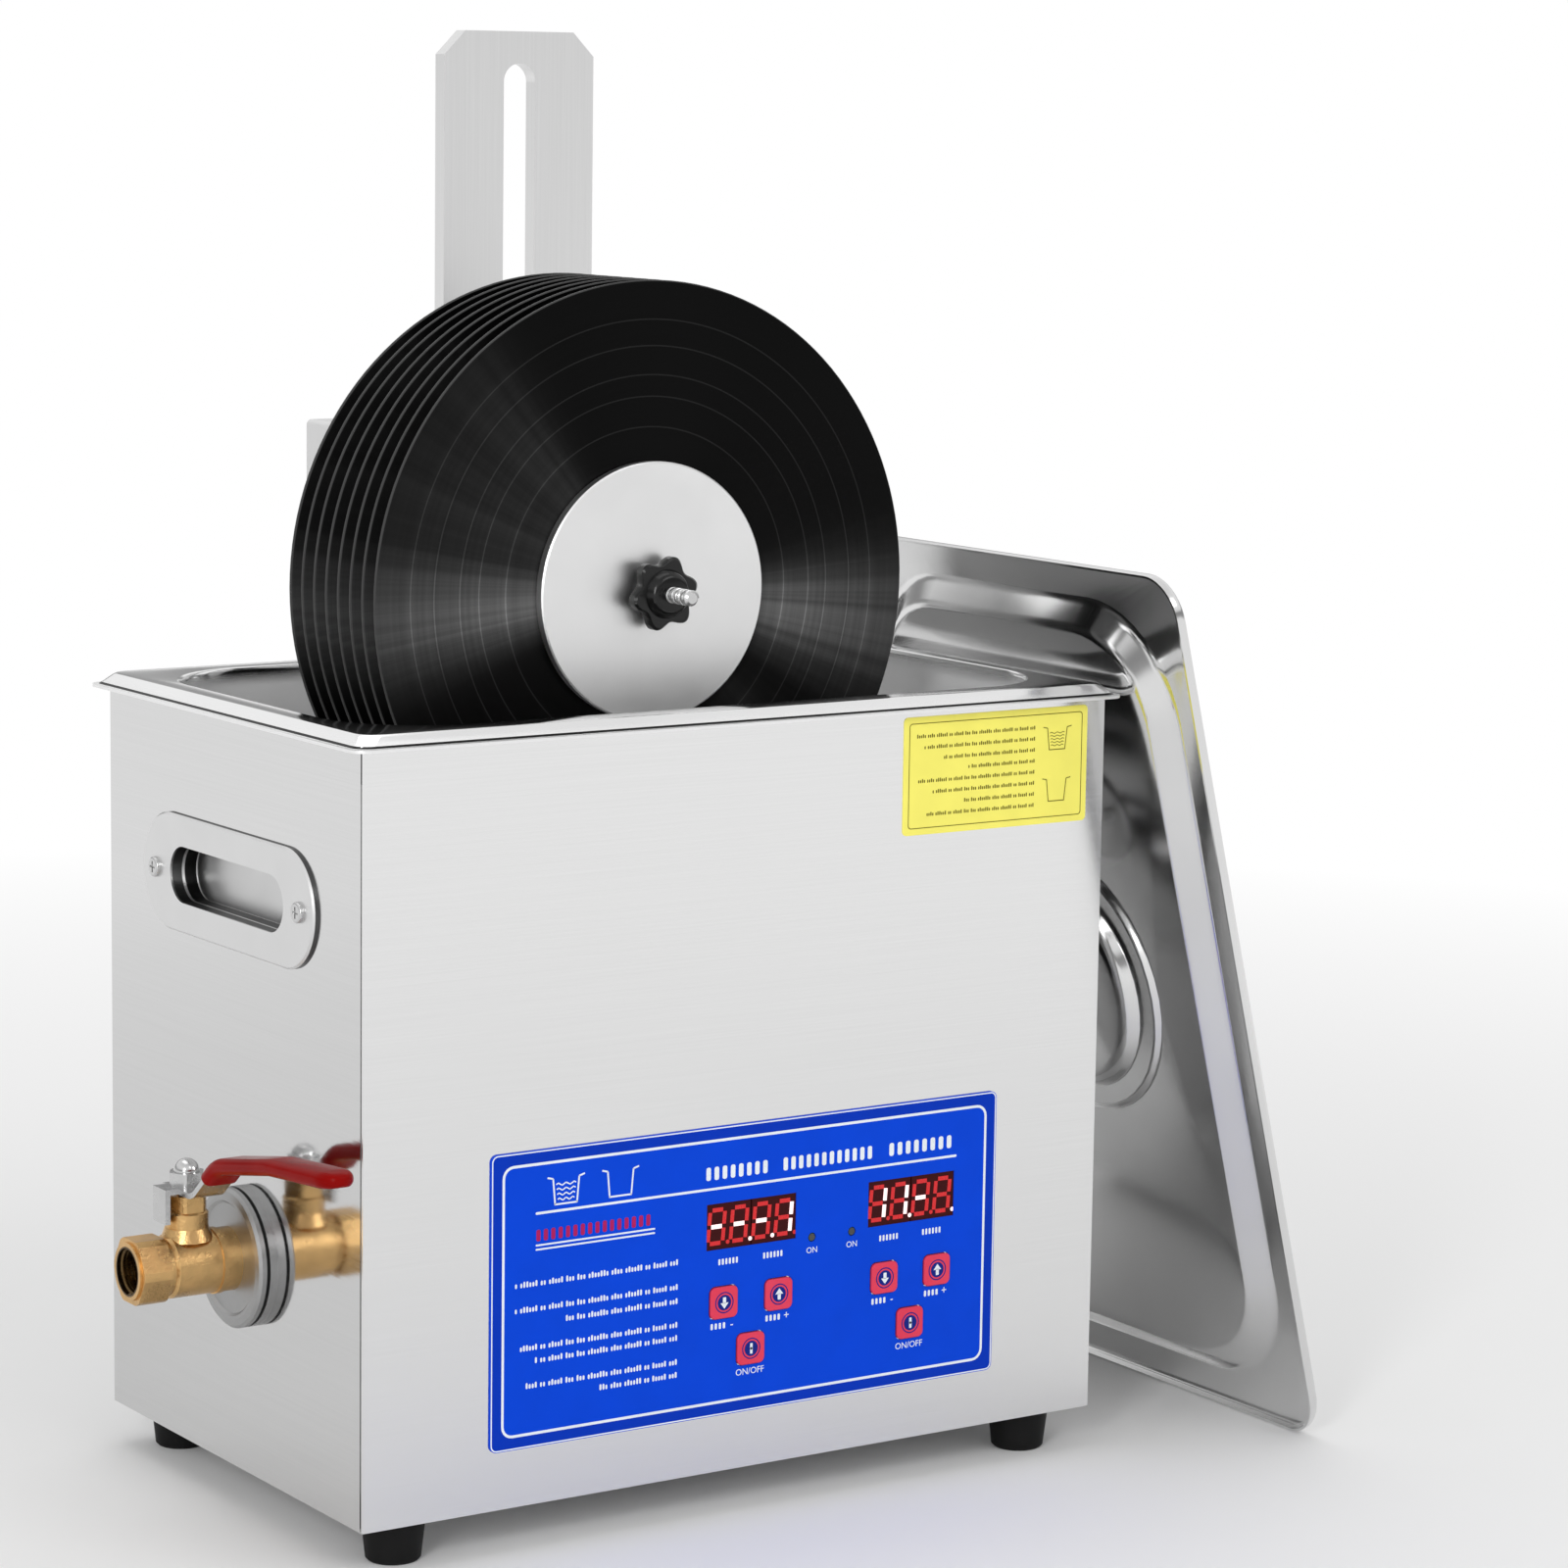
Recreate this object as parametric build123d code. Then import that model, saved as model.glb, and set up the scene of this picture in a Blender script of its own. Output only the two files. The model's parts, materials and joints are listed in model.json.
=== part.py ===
from build123d import *
import math
import os

# Record cleaning machine: a heated ultrasonic tank on rubber feet, and a stand behind it
# that turns a stack of records through the bath.
# Millimetres. X runs to the right along the front, Y to the back, Z up. The origin is on
# the floor, under the middle of the case.

# ---- case and tank
CASE_W = 350.0
CASE_D = 220.0
CASE_H = 304.0            # underside of the case to the lip of the rim
SHEET = 1.0
SEAM = 1.0                # between the front sheet and the wrap
CASE_BEND = 2.5           # outside radius of the wrap's rear bends
FOOT_H = 18.0
FOOT_R = 13.0
FOOT_TIP_R = 11.0
FOOT_INSET_X = 23.5
FOOT_INSET_Y = 18.0
LIP_OVERHANG = 6.5        # the rim's lip past the case
LIP_FLAT = 2.0
RIM_RISE = 9.0
RIM_FLARE = 6.0           # how far the crown leans in over its rise
RIM_CORNER = 7.0
TANK_W = 330.0            # the opening, before its edge is rolled
TANK_D = 196.0
TANK_R = 45.0
TANK_DEPTH = 160.0
TANK_T = 1.2
TANK_DRAFT = 3.5          # degrees
TANK_FLOOR_R = 18.0
ROLL_R = 4.0              # the rolled edge where the rim turns down into the tank

# ---- carrying handles
HANDLE_L = 148.0
HANDLE_H = 48.0
HANDLE_T = 2.0
CUP_L = 98.0
CUP_H = 23.0
CUP_DEPTH = 12.0
HANDLE_SCREW_SPACING = 124.0
HANDLE_ABOVE_CASE = 235.5

# ---- drain valve
VALVE_Y = -13.0
VALVE_ABOVE_CASE = 89.0
VALVE_REACH = 52.0        # outlet face from the case wall
STEM_REACH = 26.0
HEX_AF = 25.5
THREAD_R = 9.3            # minor radius of a G 1/2 thread
THREAD_L = 12.0
PIPE_R = 11.0
PIPE_BORE_R = 7.0
BALL_R = 11.0
BARREL_R = 12.8
BARREL_END = 36.0
NECK_R = 11.6
STEM_R = 4.0
WASHER_R = 28.2
WASHER_T = 8.5
WASHER_GROOVE = 1.5       # the rubber ring between the washer's two flanges
WASHER_DISH = 1.0
LEVER_W = 13.0
LEVER_T = 2.2
LEVER_RISE = 31.0         # the lever's plate above the pipe's axis
LEVER_REACH = 120.0
SLEEVE_W = 16.0
SLEEVE_T = 5.4
STOP_REACH = 12.0         # the tab turned down beside the stem's boss
STOP_W = 11.0
STOP_DROP = 14.0

# ---- control panel
PANEL_W = 242.0
PANEL_H = 119.0
PANEL_T = 0.8
PANEL_X = 2.0
PANEL_ABOVE_CASE = 83.0
PANEL_R = 3.0
GROUP_PITCH = 78.5        # time group to temperature group
DISPLAY_W = 43.0
DISPLAY_H = 19.0
DISPLAY_RISE = 18.6       # display centres above the panel's centre
KEY = 13.0
KEY_R = 2.5
KEY_PITCH = 26.4
KEY_UPPER_DROP = 12.8     # upper keys below the panel's centre
KEY_LOWER_DROP = 33.5
KEY_GAP = 0.35
KEY_TRAVEL = 0.5
LED_R = 1.6
LED_RISE = 8.6
BOARD_GAP = 9.0           # front sheet to control board

# ---- inside the case and on its rear wall
DRAIN_X = -118.0
DRAIN_BEND = 24.0
HORN_PLACES = (-58.0, 32.0, 122.0)
HORN_HEAD_R = 26.0
HORN_WAIST_R = 19.0
HORN_L = 58.0
HEATER_W = 200.0
HEATER_H = 64.0
HEATER_T = 2.5
DRIVE_X = 30.0
DRIVE_W = 150.0
DRIVE_D = 90.0
POST_H = 8.0
BOARD_T = 1.6
FAN_SIZE = 60.0
FAN_X = 128.0
FAN_Z = 72.0
FAN_DEPTH = 15.0
FAN_PIN_R = 1.5
INLET_X = -118.0
INLET_Z = 64.0
INLET_W = 28.0
INLET_H = 48.0
ROCKER_W = 19.0
ROCKER_TILT = 10.0        # degrees, each way from level
ROCKER_PIN_R = 1.2
VENT_X = -60.0
VENT_Z = 150.0

# ---- stand
UPRIGHT_W = 76.0
UPRIGHT_T = 8.0
UPRIGHT_TOP = 594.0
UPRIGHT_X = 50.0
UPRIGHT_Y = 160.3         # front face
UPRIGHT_CHAMFER = 10.5
SLOT_W = 16.0
SLOT_TOP = 580.0
SLOT_BOTTOM = 250.0
STAND_T = 4.0
STAND_FRONT_Y = -30.0
STAND_REAR_Y = 204.0
STAND_X0 = -58.0
STAND_X1 = 118.0
FLANGE_H = 64.0

# ---- motor box and spindle
SPINDLE_X = -10.0
SPINDLE_Z = 369.0
SHAFT_R = 3.5
STUD_R = 3.0
BOX_X0 = -56.0
BOX_X1 = 92.0
BOX_Z0 = 316.0
BOX_Z1 = 426.0
BOX_Y0 = 118.0
BOX_D = 40.0
BOX_SHEET = 1.2
BACK_T = 2.0
MOTOR_R = 30.0
MOTOR_L = 32.0
RUNNING = 0.05            # radial clearance of a turning shaft
CLAMP_STUD_R = 4.0
CLAMP_STUD_PITCH = 64.0
JACK_Y = 140.0
JACK_Z = 342.0

# ---- records and clamps
RECORD_R = 125.0
RECORD_T = 1.8
LABEL_R = 50.0
LABEL_T = 2.2
RECORD_BORE_R = 3.62
RECORD_COUNT = 8
RECORD_PITCH = 10.0
STACK_FRONT_Y = -46.0
CLAMP_R = 52.5
CLAMP_T = 5.0
SPACER_R = 44.0
KNOB_R = 16.0
KNOB_T = 8.5
KNOB_CAP_R = 9.5
STUD_TIP_Y = -80.0

# ---- lid, leaning on the rim's right-hand lip
LID_W = 240.0
LID_L = 386.0
LID_R = 18.0
LID_T = 1.0
LID_SKIRT = 4.0
LID_FLANGE = 16.0
LID_WALL = 11.0           # the sloping wall that centres the lid in the tank's mouth
LID_WALL_R = 42.0
LID_DROP = 8.0            # the panel below the flange
LID_BEND = 3.0
LID_CUP_R = 53.0
LID_CUP_STEP_R = 45.0
LID_CUP_STEP = 2.5
LID_CUP_TIP_R = 34.0
LID_CUP_DEPTH = 11.0
LID_LEAN = 13.8           # degrees from upright
LID_Y = -34.0             # the lid's middle, front to back
LID_BAR_W = 18.0
LID_BAR_T = 3.0
LID_BAR_RISE = 5.0
FREE = 0.3                # gap between pieces that move apart

# ---- worked out from the above
HALF_W = CASE_W / 2
HALF_D = CASE_D / 2
LIP_Z = FOOT_H + CASE_H
RIM_TOP = LIP_Z + RIM_RISE
CASE_TOP = LIP_Z + 2.0    # the sheets end inside the hollow of the rim
RIM_W = CASE_W + 2 * LIP_OVERHANG
RIM_D = CASE_D + 2 * LIP_OVERHANG
TANK_BOTTOM = RIM_TOP - TANK_DEPTH
VALVE_Z = FOOT_H + VALVE_ABOVE_CASE
STEM_X = -HALF_W - STEM_REACH
HANDLE_Z = FOOT_H + HANDLE_ABOVE_CASE
PANEL_Z = FOOT_H + PANEL_ABOVE_CASE
BOX_Y1 = BOX_Y0 + BOX_D
BACK_Y1 = BOX_Y1 + BACK_T
STACK_REAR_Y = STACK_FRONT_Y + (RECORD_COUNT - 1) * RECORD_PITCH + LABEL_T
BOX_MID_Z = (BOX_Z0 + BOX_Z1) / 2
GROUPS = {"time": PANEL_X, "temp": PANEL_X + GROUP_PITCH}
FOOT_PLACES = [
    (side * (HALF_W - FOOT_INSET_X), end * (HALF_D - FOOT_INSET_Y))
    for side in (-1, 1)
    for end in (-1, 1)
]


# ---- helpers

def facing_front(x, y, z):
    """A plane whose normal points to the front, with X to the right and Z up."""
    return Plane(origin=(x, y, z), x_dir=(1, 0, 0), z_dir=(0, -1, 0))


def facing_rear(x, y, z):
    return Plane(origin=(x, y, z), x_dir=(-1, 0, 0), z_dir=(0, 1, 0))


def facing_left(x, y, z):
    return Plane(origin=(x, y, z), x_dir=(0, -1, 0), z_dir=(-1, 0, 0))


def facing_right(x, y, z):
    return Plane(origin=(x, y, z), x_dir=(0, 1, 0), z_dir=(1, 0, 0))


def rod(plane, radius, length):
    return extrude(plane * Circle(radius), length)


def tube(plane, radius, bore, length):
    return extrude(plane * (Circle(radius) - Circle(bore)), length)


def block(plane, width, height, depth, radius=0.0):
    outline = RectangleRounded(width, height, radius) if radius else Rectangle(width, height)
    return extrude(plane * outline, depth)


def stadium(plane, length, height, depth):
    return extrude(plane * SlotOverall(length, height), depth)


def hexagon(plane, across_flats, depth):
    return extrude(plane * RegularPolygon(across_flats / 2, 6, major_radius=False), depth)


def star_grip(plane, radius, depth, lobes=6):
    """A hand knob's grip: a disc with a round hollow between each two lobes."""
    hollow = radius * 0.34
    grip = rod(plane, radius, depth)
    for lobe in range(lobes):
        place = plane * Rot(0, 0, 360 * lobe / lobes) * Pos(radius * 1.16, 0)
        grip -= extrude(place * Circle(hollow), depth)
    along = Axis(plane.origin, plane.z_dir)
    grip = fillet(grip.edges().filter_by(along), radius * 0.16)
    return fillet(grip.faces().sort_by(along)[-1].edges(), 1.5)


# ---- case

def make_front_panel():
    """The front sheet, with return flanges inside the wrap and windows for the controls."""
    flange = 12.0
    height = CASE_TOP - FOOT_H
    middle = FOOT_H + height / 2
    panel = block(facing_rear(0, -HALF_D, middle), CASE_W, height, SHEET)
    for side in (-1, 1):
        inner = side * (HALF_W - 1.5 * SHEET)
        panel += Pos(inner, -HALF_D + flange / 2, middle) * Box(SHEET, flange, height - 30)
    through = -HALF_D - SHEET
    for x in GROUPS.values():
        panel -= block(facing_rear(x, through, PANEL_Z + DISPLAY_RISE), DISPLAY_W, DISPLAY_H, 4)
    for x, z in key_places().values():
        panel -= rod(facing_rear(x, through, z), 5.0, 4)
    for x in led_places():
        panel -= rod(facing_rear(x, through, PANEL_Z + LED_RISE), LED_R + 0.3, 4)
    return panel


def make_case_wrap():
    """One sheet bent round the left side, the back and the right side."""
    front_y = -HALF_D + SHEET + SEAM
    depth = HALF_D - front_y
    outer = Pos(0, front_y + depth / 2) * Rectangle(CASE_W, depth)
    rear_corners = outer.vertices().group_by(Axis.Y)[-1]
    outer = fillet(rear_corners, CASE_BEND)
    inner = Pos(0, front_y + depth / 2 - SHEET) * Rectangle(CASE_W - 2 * SHEET, depth)
    wrap = extrude(Pos(0, 0, FOOT_H) * (outer - inner), CASE_TOP - FOOT_H)
    for plane in (facing_left(-HALF_W + 4, 0, HANDLE_Z), facing_right(HALF_W - 4, 0, HANDLE_Z)):
        wrap -= stadium(plane, CUP_L + 6, CUP_H + 6, 8)
        for end in (-1, 1):
            wrap -= extrude(plane * Pos(end * HANDLE_SCREW_SPACING / 2, 0) * Circle(2.1), 8)
    wrap -= rod(facing_left(-HALF_W + 4, VALVE_Y, VALVE_Z), PIPE_R, 8)
    wall = HALF_D - 4
    wrap -= rod(facing_rear(FAN_X, wall, FAN_Z), FAN_SIZE / 2 - 3, 8)
    wrap -= block(facing_rear(INLET_X, wall, INLET_Z), INLET_W, INLET_H, 8)
    for row in range(6):
        for column in (-1, 0, 1):
            slot = facing_rear(VENT_X + 34 * column, wall, VENT_Z + 10 * row)
            wrap -= stadium(slot, 26, 3.4, 8)
    return wrap


def make_base_plate():
    """A shallow tray that closes the case below, with louvre slots under the electronics."""
    width = CASE_W - 2 * SHEET
    depth = CASE_D - 2 * SHEET
    tray = extrude(Pos(0, 0, FOOT_H) * RectangleRounded(width, depth, 1.5), 10)
    tray -= extrude(Pos(0, 0, FOOT_H + SHEET) * Rectangle(width - 2, depth - 2), 12)
    tray -= Pos(0, -HALF_D + 7, FOOT_H + 6 + SHEET) * Box(width, 14, 12)
    for row in range(5):
        for side in (-1, 1):
            slot = Pos(70 * side, -28 + 14 * row, FOOT_H - 1) * SlotOverall(60, 4)
            tray -= extrude(slot, 4)
    for x, y in FOOT_PLACES:
        tray -= extrude(Pos(x, y, FOOT_H - 1) * Circle(2.1), 4)
    return tray


def tank_well(grow):
    """The drawn tank as a solid, grown by a wall thickness for its outside."""
    outline = RectangleRounded(TANK_W + 2 * grow, TANK_D + 2 * grow, TANK_R + grow)
    well = extrude(Pos(0, 0, RIM_TOP) * outline, -(TANK_DEPTH + grow), taper=TANK_DRAFT)
    return fillet(well.faces().sort_by(Axis.Z)[0].edges(), TANK_FLOOR_R + grow)


def make_tank():
    """The tank, drawn in one piece with the rim that caps the case."""
    crown_w = RIM_W - 2 * LIP_FLAT
    crown_d = RIM_D - 2 * LIP_FLAT
    lean = math.degrees(math.atan(RIM_FLARE / RIM_RISE))
    lip = extrude(Pos(0, 0, LIP_Z) * RectangleRounded(RIM_W, RIM_D, RIM_CORNER), TANK_T)
    crown = extrude(Pos(0, 0, LIP_Z) * RectangleRounded(crown_w, crown_d, 6.5), RIM_RISE, taper=lean)
    crown = fillet(crown.faces().sort_by(Axis.Z)[-1].edges(), 4.5)
    hollow_outline = RectangleRounded(crown_w - 3 * TANK_T, crown_d - 3 * TANK_T, 4.8)
    hollow = extrude(Pos(0, 0, LIP_Z) * hollow_outline, RIM_RISE - TANK_T, taper=lean)
    hollow -= extrude(Pos(0, 0, LIP_Z) * Rectangle(RIM_W, RIM_D), TANK_T)
    hollow += extrude(Pos(0, 0, LIP_Z) * Rectangle(CASE_W, CASE_D), TANK_T)
    tank = lip + crown - hollow + tank_well(TANK_T)
    tank -= tank_well(0)
    opening = [e for e in tank.edges() if e.bounding_box().min.Z > RIM_TOP - 0.01]
    inner = [e for e in opening if e.bounding_box().size.X < TANK_W + 1]
    inner = [e for e in inner if abs(e.center().X) <= TANK_W / 2 and abs(e.center().Y) <= TANK_D / 2]
    tank = fillet(inner, ROLL_R - TANK_T)
    return tank - rod(Plane(origin=(DRAIN_X, VALVE_Y, TANK_BOTTOM - 4)), PIPE_BORE_R, 8)


def make_rubber_feet():
    feet = []
    for x, y in FOOT_PLACES:
        side = Polyline(
            (0, 0), (FOOT_TIP_R - 1, 0), (FOOT_TIP_R, 1), (FOOT_R, FOOT_H), (0, FOOT_H), (0, 0)
        )
        foot = revolve(Plane.XZ * make_face(side), Axis.Z)
        foot -= Cylinder(4.5, 12, align=(Align.CENTER, Align.CENTER, Align.MIN))
        foot -= Cylinder(2.1, FOOT_H, align=(Align.CENTER, Align.CENTER, Align.MIN))
        feet.append(Pos(x, y, 0) * foot)
    return feet


def make_handle(wall_plane):
    """A flush pull: a stadium face plate and the cup behind it, in one casting."""
    plate = stadium(wall_plane, HANDLE_L, HANDLE_H, HANDLE_T)
    plate = chamfer(plate.faces().sort_by(Axis(wall_plane.origin, wall_plane.z_dir))[-1].edges(), 0.8)
    inward = Plane(wall_plane.origin, x_dir=wall_plane.x_dir, z_dir=-wall_plane.z_dir)
    cup = stadium(inward, CUP_L + 5, CUP_H + 5, CUP_DEPTH)
    cup += plate
    hollow = Plane(
        wall_plane.origin + wall_plane.z_dir * (HANDLE_T + 1),
        x_dir=wall_plane.x_dir,
        z_dir=-wall_plane.z_dir,
    )
    cup -= stadium(hollow, CUP_L, CUP_H, CUP_DEPTH + HANDLE_T - 1)
    for end in (-1, 1):
        hole = hollow * Pos(end * HANDLE_SCREW_SPACING / 2, 0) * Circle(2.2)
        cup -= extrude(hole, 6)
    return cup


# ---- drain

def make_drain_elbow():
    """The pipe from the tank's floor, down and out through the left wall."""
    top = TANK_BOTTOM - TANK_T
    wall_end = -HALF_W - 12.0
    path = FilletPolyline(
        (DRAIN_X, VALVE_Y, top), (DRAIN_X, VALVE_Y, VALVE_Z), (wall_end, VALVE_Y, VALVE_Z),
        radius=DRAIN_BEND,
    )
    start = Plane(origin=path @ 0, z_dir=path % 0)
    elbow = sweep(start * Circle(PIPE_R), path=path) - sweep(start * Circle(PIPE_BORE_R), path=path)
    return elbow + tube(Plane(origin=(DRAIN_X, VALVE_Y, top - 3)), 19, PIPE_R, 3)


def make_drain_washer():
    """Two turned flanges on one hub, over the hole in the wall, the outer one dished."""
    wall = facing_left(-HALF_W, VALVE_Y, VALVE_Z)
    flange = (WASHER_T - WASHER_GROOVE) / 2
    profile = Polyline(
        (PIPE_R, 0), (WASHER_R, 0), (WASHER_R, flange), (WASHER_R - 3, flange),
        (WASHER_R - 3, flange + WASHER_GROOVE), (WASHER_R, flange + WASHER_GROOVE),
        (WASHER_R, WASHER_T - 1.6), (WASHER_R - 1.2, WASHER_T - 0.5), (WASHER_R - 3.6, WASHER_T),
        (WASHER_R - 5, WASHER_T), (WASHER_R - 6.2, WASHER_T - WASHER_DISH),
        (PIPE_R, WASHER_T - WASHER_DISH), (PIPE_R, 0),
    )
    section = Plane(wall.origin, x_dir=wall.x_dir, z_dir=-wall.y_dir)
    return revolve(section * make_face(profile), Axis(wall.origin, wall.z_dir))


def make_drain_gasket():
    """The rubber ring let into the groove between the washer's flanges."""
    flange = (WASHER_T - WASHER_GROOVE) / 2
    groove = facing_left(-HALF_W - flange, VALVE_Y, VALVE_Z)
    return tube(groove, WASHER_R - 0.5, WASHER_R - 3, WASHER_GROOVE)


def make_valve_body():
    """A brass ball valve body: a hexagon outlet, a round barrel and the boss for the stem."""
    start = WASHER_T - WASHER_DISH
    hex_start = VALVE_REACH - 13.5
    axis = facing_left(-HALF_W, VALVE_Y, VALVE_Z)
    barrel = rod(axis.offset(start), BARREL_R, BARREL_END - start)
    barrel = chamfer(barrel.faces().sort_by(Axis.X)[0].edges(), 1.1)
    body = barrel + rod(axis.offset(start + 6), BARREL_R + 0.5, 2.5)
    body += rod(axis.offset(start), NECK_R, hex_start - start + 1)
    outlet = axis.offset(hex_start)
    body += hexagon(outlet, HEX_AF, 12.5) & rod(outlet, HEX_AF / 2 + 1.1, 12.5)
    body += rod(outlet.offset(12), NECK_R, 1.5)
    upright = Plane(origin=(STEM_X, VALVE_Y, VALVE_Z))
    boss = chamfer(rod(upright, 8.5, 22).faces().sort_by(Axis.Z)[-1].edges(), 0.8)
    body += boss + extrude(upright.offset(BARREL_R - 2.5) * Circle(10.5), 5, taper=20)
    body -= rod(axis, PIPE_R, 12)
    body -= rod(axis, PIPE_BORE_R, VALVE_REACH + 1)
    body -= rod(axis.offset(VALVE_REACH - THREAD_L), THREAD_R, THREAD_L + 1)
    body -= Pos(STEM_X, VALVE_Y, VALVE_Z) * Sphere(BALL_R + FREE)
    return body - rod(upright, STEM_R + FREE, 30)


def make_valve_ball():
    """Shut: the ball's bore lies across the pipe."""
    ball = Pos(STEM_X, VALVE_Y, VALVE_Z) * Sphere(BALL_R)
    ball -= rod(facing_front(STEM_X, VALVE_Y + BALL_R, VALVE_Z), PIPE_BORE_R, 2 * BALL_R)
    return ball - rod(Plane(origin=(STEM_X, VALVE_Y, VALVE_Z + 8)), STEM_R, 8)


def make_valve_stem():
    stem = rod(Plane(origin=(STEM_X, VALVE_Y, VALVE_Z + 8)), STEM_R, 28)
    return chamfer(stem.faces().sort_by(Axis.Z)[-1].edges(), 0.8)


def make_packing_nut():
    base = Plane(origin=(STEM_X, VALVE_Y, VALVE_Z + 22))
    nut = hexagon(base, 15, 6.5) & rod(base, 8.3, 6.5)
    return nut - rod(base, STEM_R + RUNNING, 8)


def lever_path():
    """The lever's bend, seen from the side: flat over the stem, up, then out along the wall."""
    return FilletPolyline(
        (-8, LEVER_RISE), (17, LEVER_RISE), (36, 47), (80, 55.5), (LEVER_REACH, 59), radius=11
    )


def make_lever():
    """A bent strip with a tab turned down beside the stem's boss."""
    side = facing_left(STEM_X, VALVE_Y, VALVE_Z)
    lever = extrude(side * trace(lever_path(), LEVER_T), LEVER_W / 2, both=True)
    tab = Polyline(
        (0, 0), (STOP_REACH, 0), (STOP_REACH, -STOP_DROP), (STOP_REACH - LEVER_T, -STOP_DROP),
        (STOP_REACH - LEVER_T, -LEVER_T), (0, -LEVER_T), (0, 0),
    )
    level = Vector(STEM_X, VALVE_Y - STOP_W / 2, VALVE_Z + LEVER_RISE + LEVER_T / 2)
    lever += extrude(Plane(level, x_dir=(-1, 0, 0), z_dir=(0, 1, 0)) * make_face(tab), STOP_W)
    return lever - rod(Plane(origin=(STEM_X, VALVE_Y, VALVE_Z)), STEM_R, 50)


def make_lever_sleeve(lever):
    """The soft grip dipped over the lever, from its upward bend to its tip."""
    side = facing_left(STEM_X, VALVE_Y, VALVE_Z)
    tip = LEVER_REACH + SLEEVE_W / 2 - LEVER_W / 2
    path = FilletPolyline((23, 36), (36, 47), (80, 55.5), (tip, 59.2), radius=11)
    sleeve = extrude(side * trace(path, SLEEVE_T), SLEEVE_W / 2, both=True)
    tip_corners = sleeve.faces().sort_by(Axis.Y)[0].edges().sort_by(SortBy.LENGTH)[:2]
    sleeve = fillet(tip_corners, SLEEVE_W / 2 - 1)
    around = [e for e in sleeve.edges() if e.length > SLEEVE_T + 1]
    return fillet(around, SLEEVE_T / 2 - 0.5) - lever


def make_lever_nut(stem):
    base = Plane(origin=(STEM_X, VALVE_Y, VALVE_Z + LEVER_RISE + LEVER_T / 2))
    nut = hexagon(base, 13, 5.5) & rod(base, 7.2, 5.5)
    dome = Pos(STEM_X, VALVE_Y, base.origin.Z + 5.5) * Sphere(5.2)
    cap = dome & rod(base, 6, 12)
    return nut + cap - stem


# ---- control panel

def key_places():
    """Middle of each key, by name, in X and Z."""
    places = {}
    for group, x in GROUPS.items():
        places[f"key_{group}_down"] = (x - KEY_PITCH / 2, PANEL_Z - KEY_UPPER_DROP)
        places[f"key_{group}_up"] = (x + KEY_PITCH / 2, PANEL_Z - KEY_UPPER_DROP)
        places[f"key_{group}_switch"] = (x, PANEL_Z - KEY_LOWER_DROP)
    return places


def led_places():
    middle = PANEL_X + GROUP_PITCH / 2
    return (middle - 9.8, middle + 9.8)


def make_control_overlay():
    face = facing_front(PANEL_X, -HALF_D, PANEL_Z)
    overlay = block(face, PANEL_W, PANEL_H, PANEL_T, PANEL_R)
    for x in GROUPS.values():
        window = facing_front(x, -HALF_D + 1, PANEL_Z + DISPLAY_RISE)
        overlay -= block(window, DISPLAY_W, DISPLAY_H, 4)
    for x, z in key_places().values():
        hole = facing_front(x, -HALF_D + 1, z)
        overlay -= block(hole, KEY + 2 * KEY_GAP, KEY + 2 * KEY_GAP, 4, KEY_R + KEY_GAP)
    for x in led_places():
        overlay -= rod(facing_front(x, -HALF_D + 1, PANEL_Z + LED_RISE), LED_R + 0.3, 4)
    return overlay


def make_display(x):
    """Two two-digit modules side by side, seated in the window."""
    gap = 0.6
    width = (DISPLAY_W - gap) / 2
    modules = []
    for side in (-1, 1):
        place = facing_front(x + side * (width + gap) / 2, board_y(), PANEL_Z + DISPLAY_RISE)
        modules.append(block(place, width, DISPLAY_H, board_y() + HALF_D + 0.4))
    return modules


def make_key(x, z):
    """A key pad, proud of the panel at rest, on the plunger that works its switch."""
    back = -HALF_D - 0.7
    pad = block(facing_front(x, back, z), KEY, KEY, 1.0, KEY_R)
    pad = fillet(pad.faces().sort_by(Axis.Y)[0].edges(), 0.35)
    return pad + rod(facing_rear(x, back, z), 2.5, board_y() - 4.0 - back - KEY_TRAVEL - 0.2)


def board_y():
    """Front face of the control board."""
    return -HALF_D + SHEET + BOARD_GAP


def make_control_board():
    board = block(facing_rear(PANEL_X, board_y(), PANEL_Z), PANEL_W - 26, PANEL_H - 14, 1.6, 2)
    for x, z in key_places().values():
        board += block(facing_front(x, board_y(), z), 12, 12, 4)
    for x in led_places():
        board += rod(facing_front(x, board_y(), PANEL_Z + LED_RISE), LED_R, board_y() + HALF_D + 0.4)
    for side_x in (-1, 1):
        for side_z in (-1, 1):
            post = facing_front(
                PANEL_X + side_x * (PANEL_W / 2 - 19), board_y(), PANEL_Z + side_z * (PANEL_H / 2 - 12)
            )
            board += rod(post, 3.5, BOARD_GAP)
    return board


# ---- inside the case

def make_transducers():
    """Three bolted horns under the tank: flared head, two ceramic rings, steel tail, bolt."""
    ceramic_r = HORN_WAIST_R - 2
    side = Polyline(
        (0, 0), (HORN_HEAD_R, 0), (HORN_WAIST_R, -26), (ceramic_r, -26), (ceramic_r, -38),
        (HORN_WAIST_R, -38), (HORN_WAIST_R, -HORN_L), (5, -HORN_L), (5, -HORN_L - 6),
        (0, -HORN_L - 6), (0, 0),
    )
    horn = revolve(Plane.XZ * make_face(side), Axis.Z)
    return [Pos(x, 0, TANK_BOTTOM - TANK_T) * horn for x in HORN_PLACES]


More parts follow.
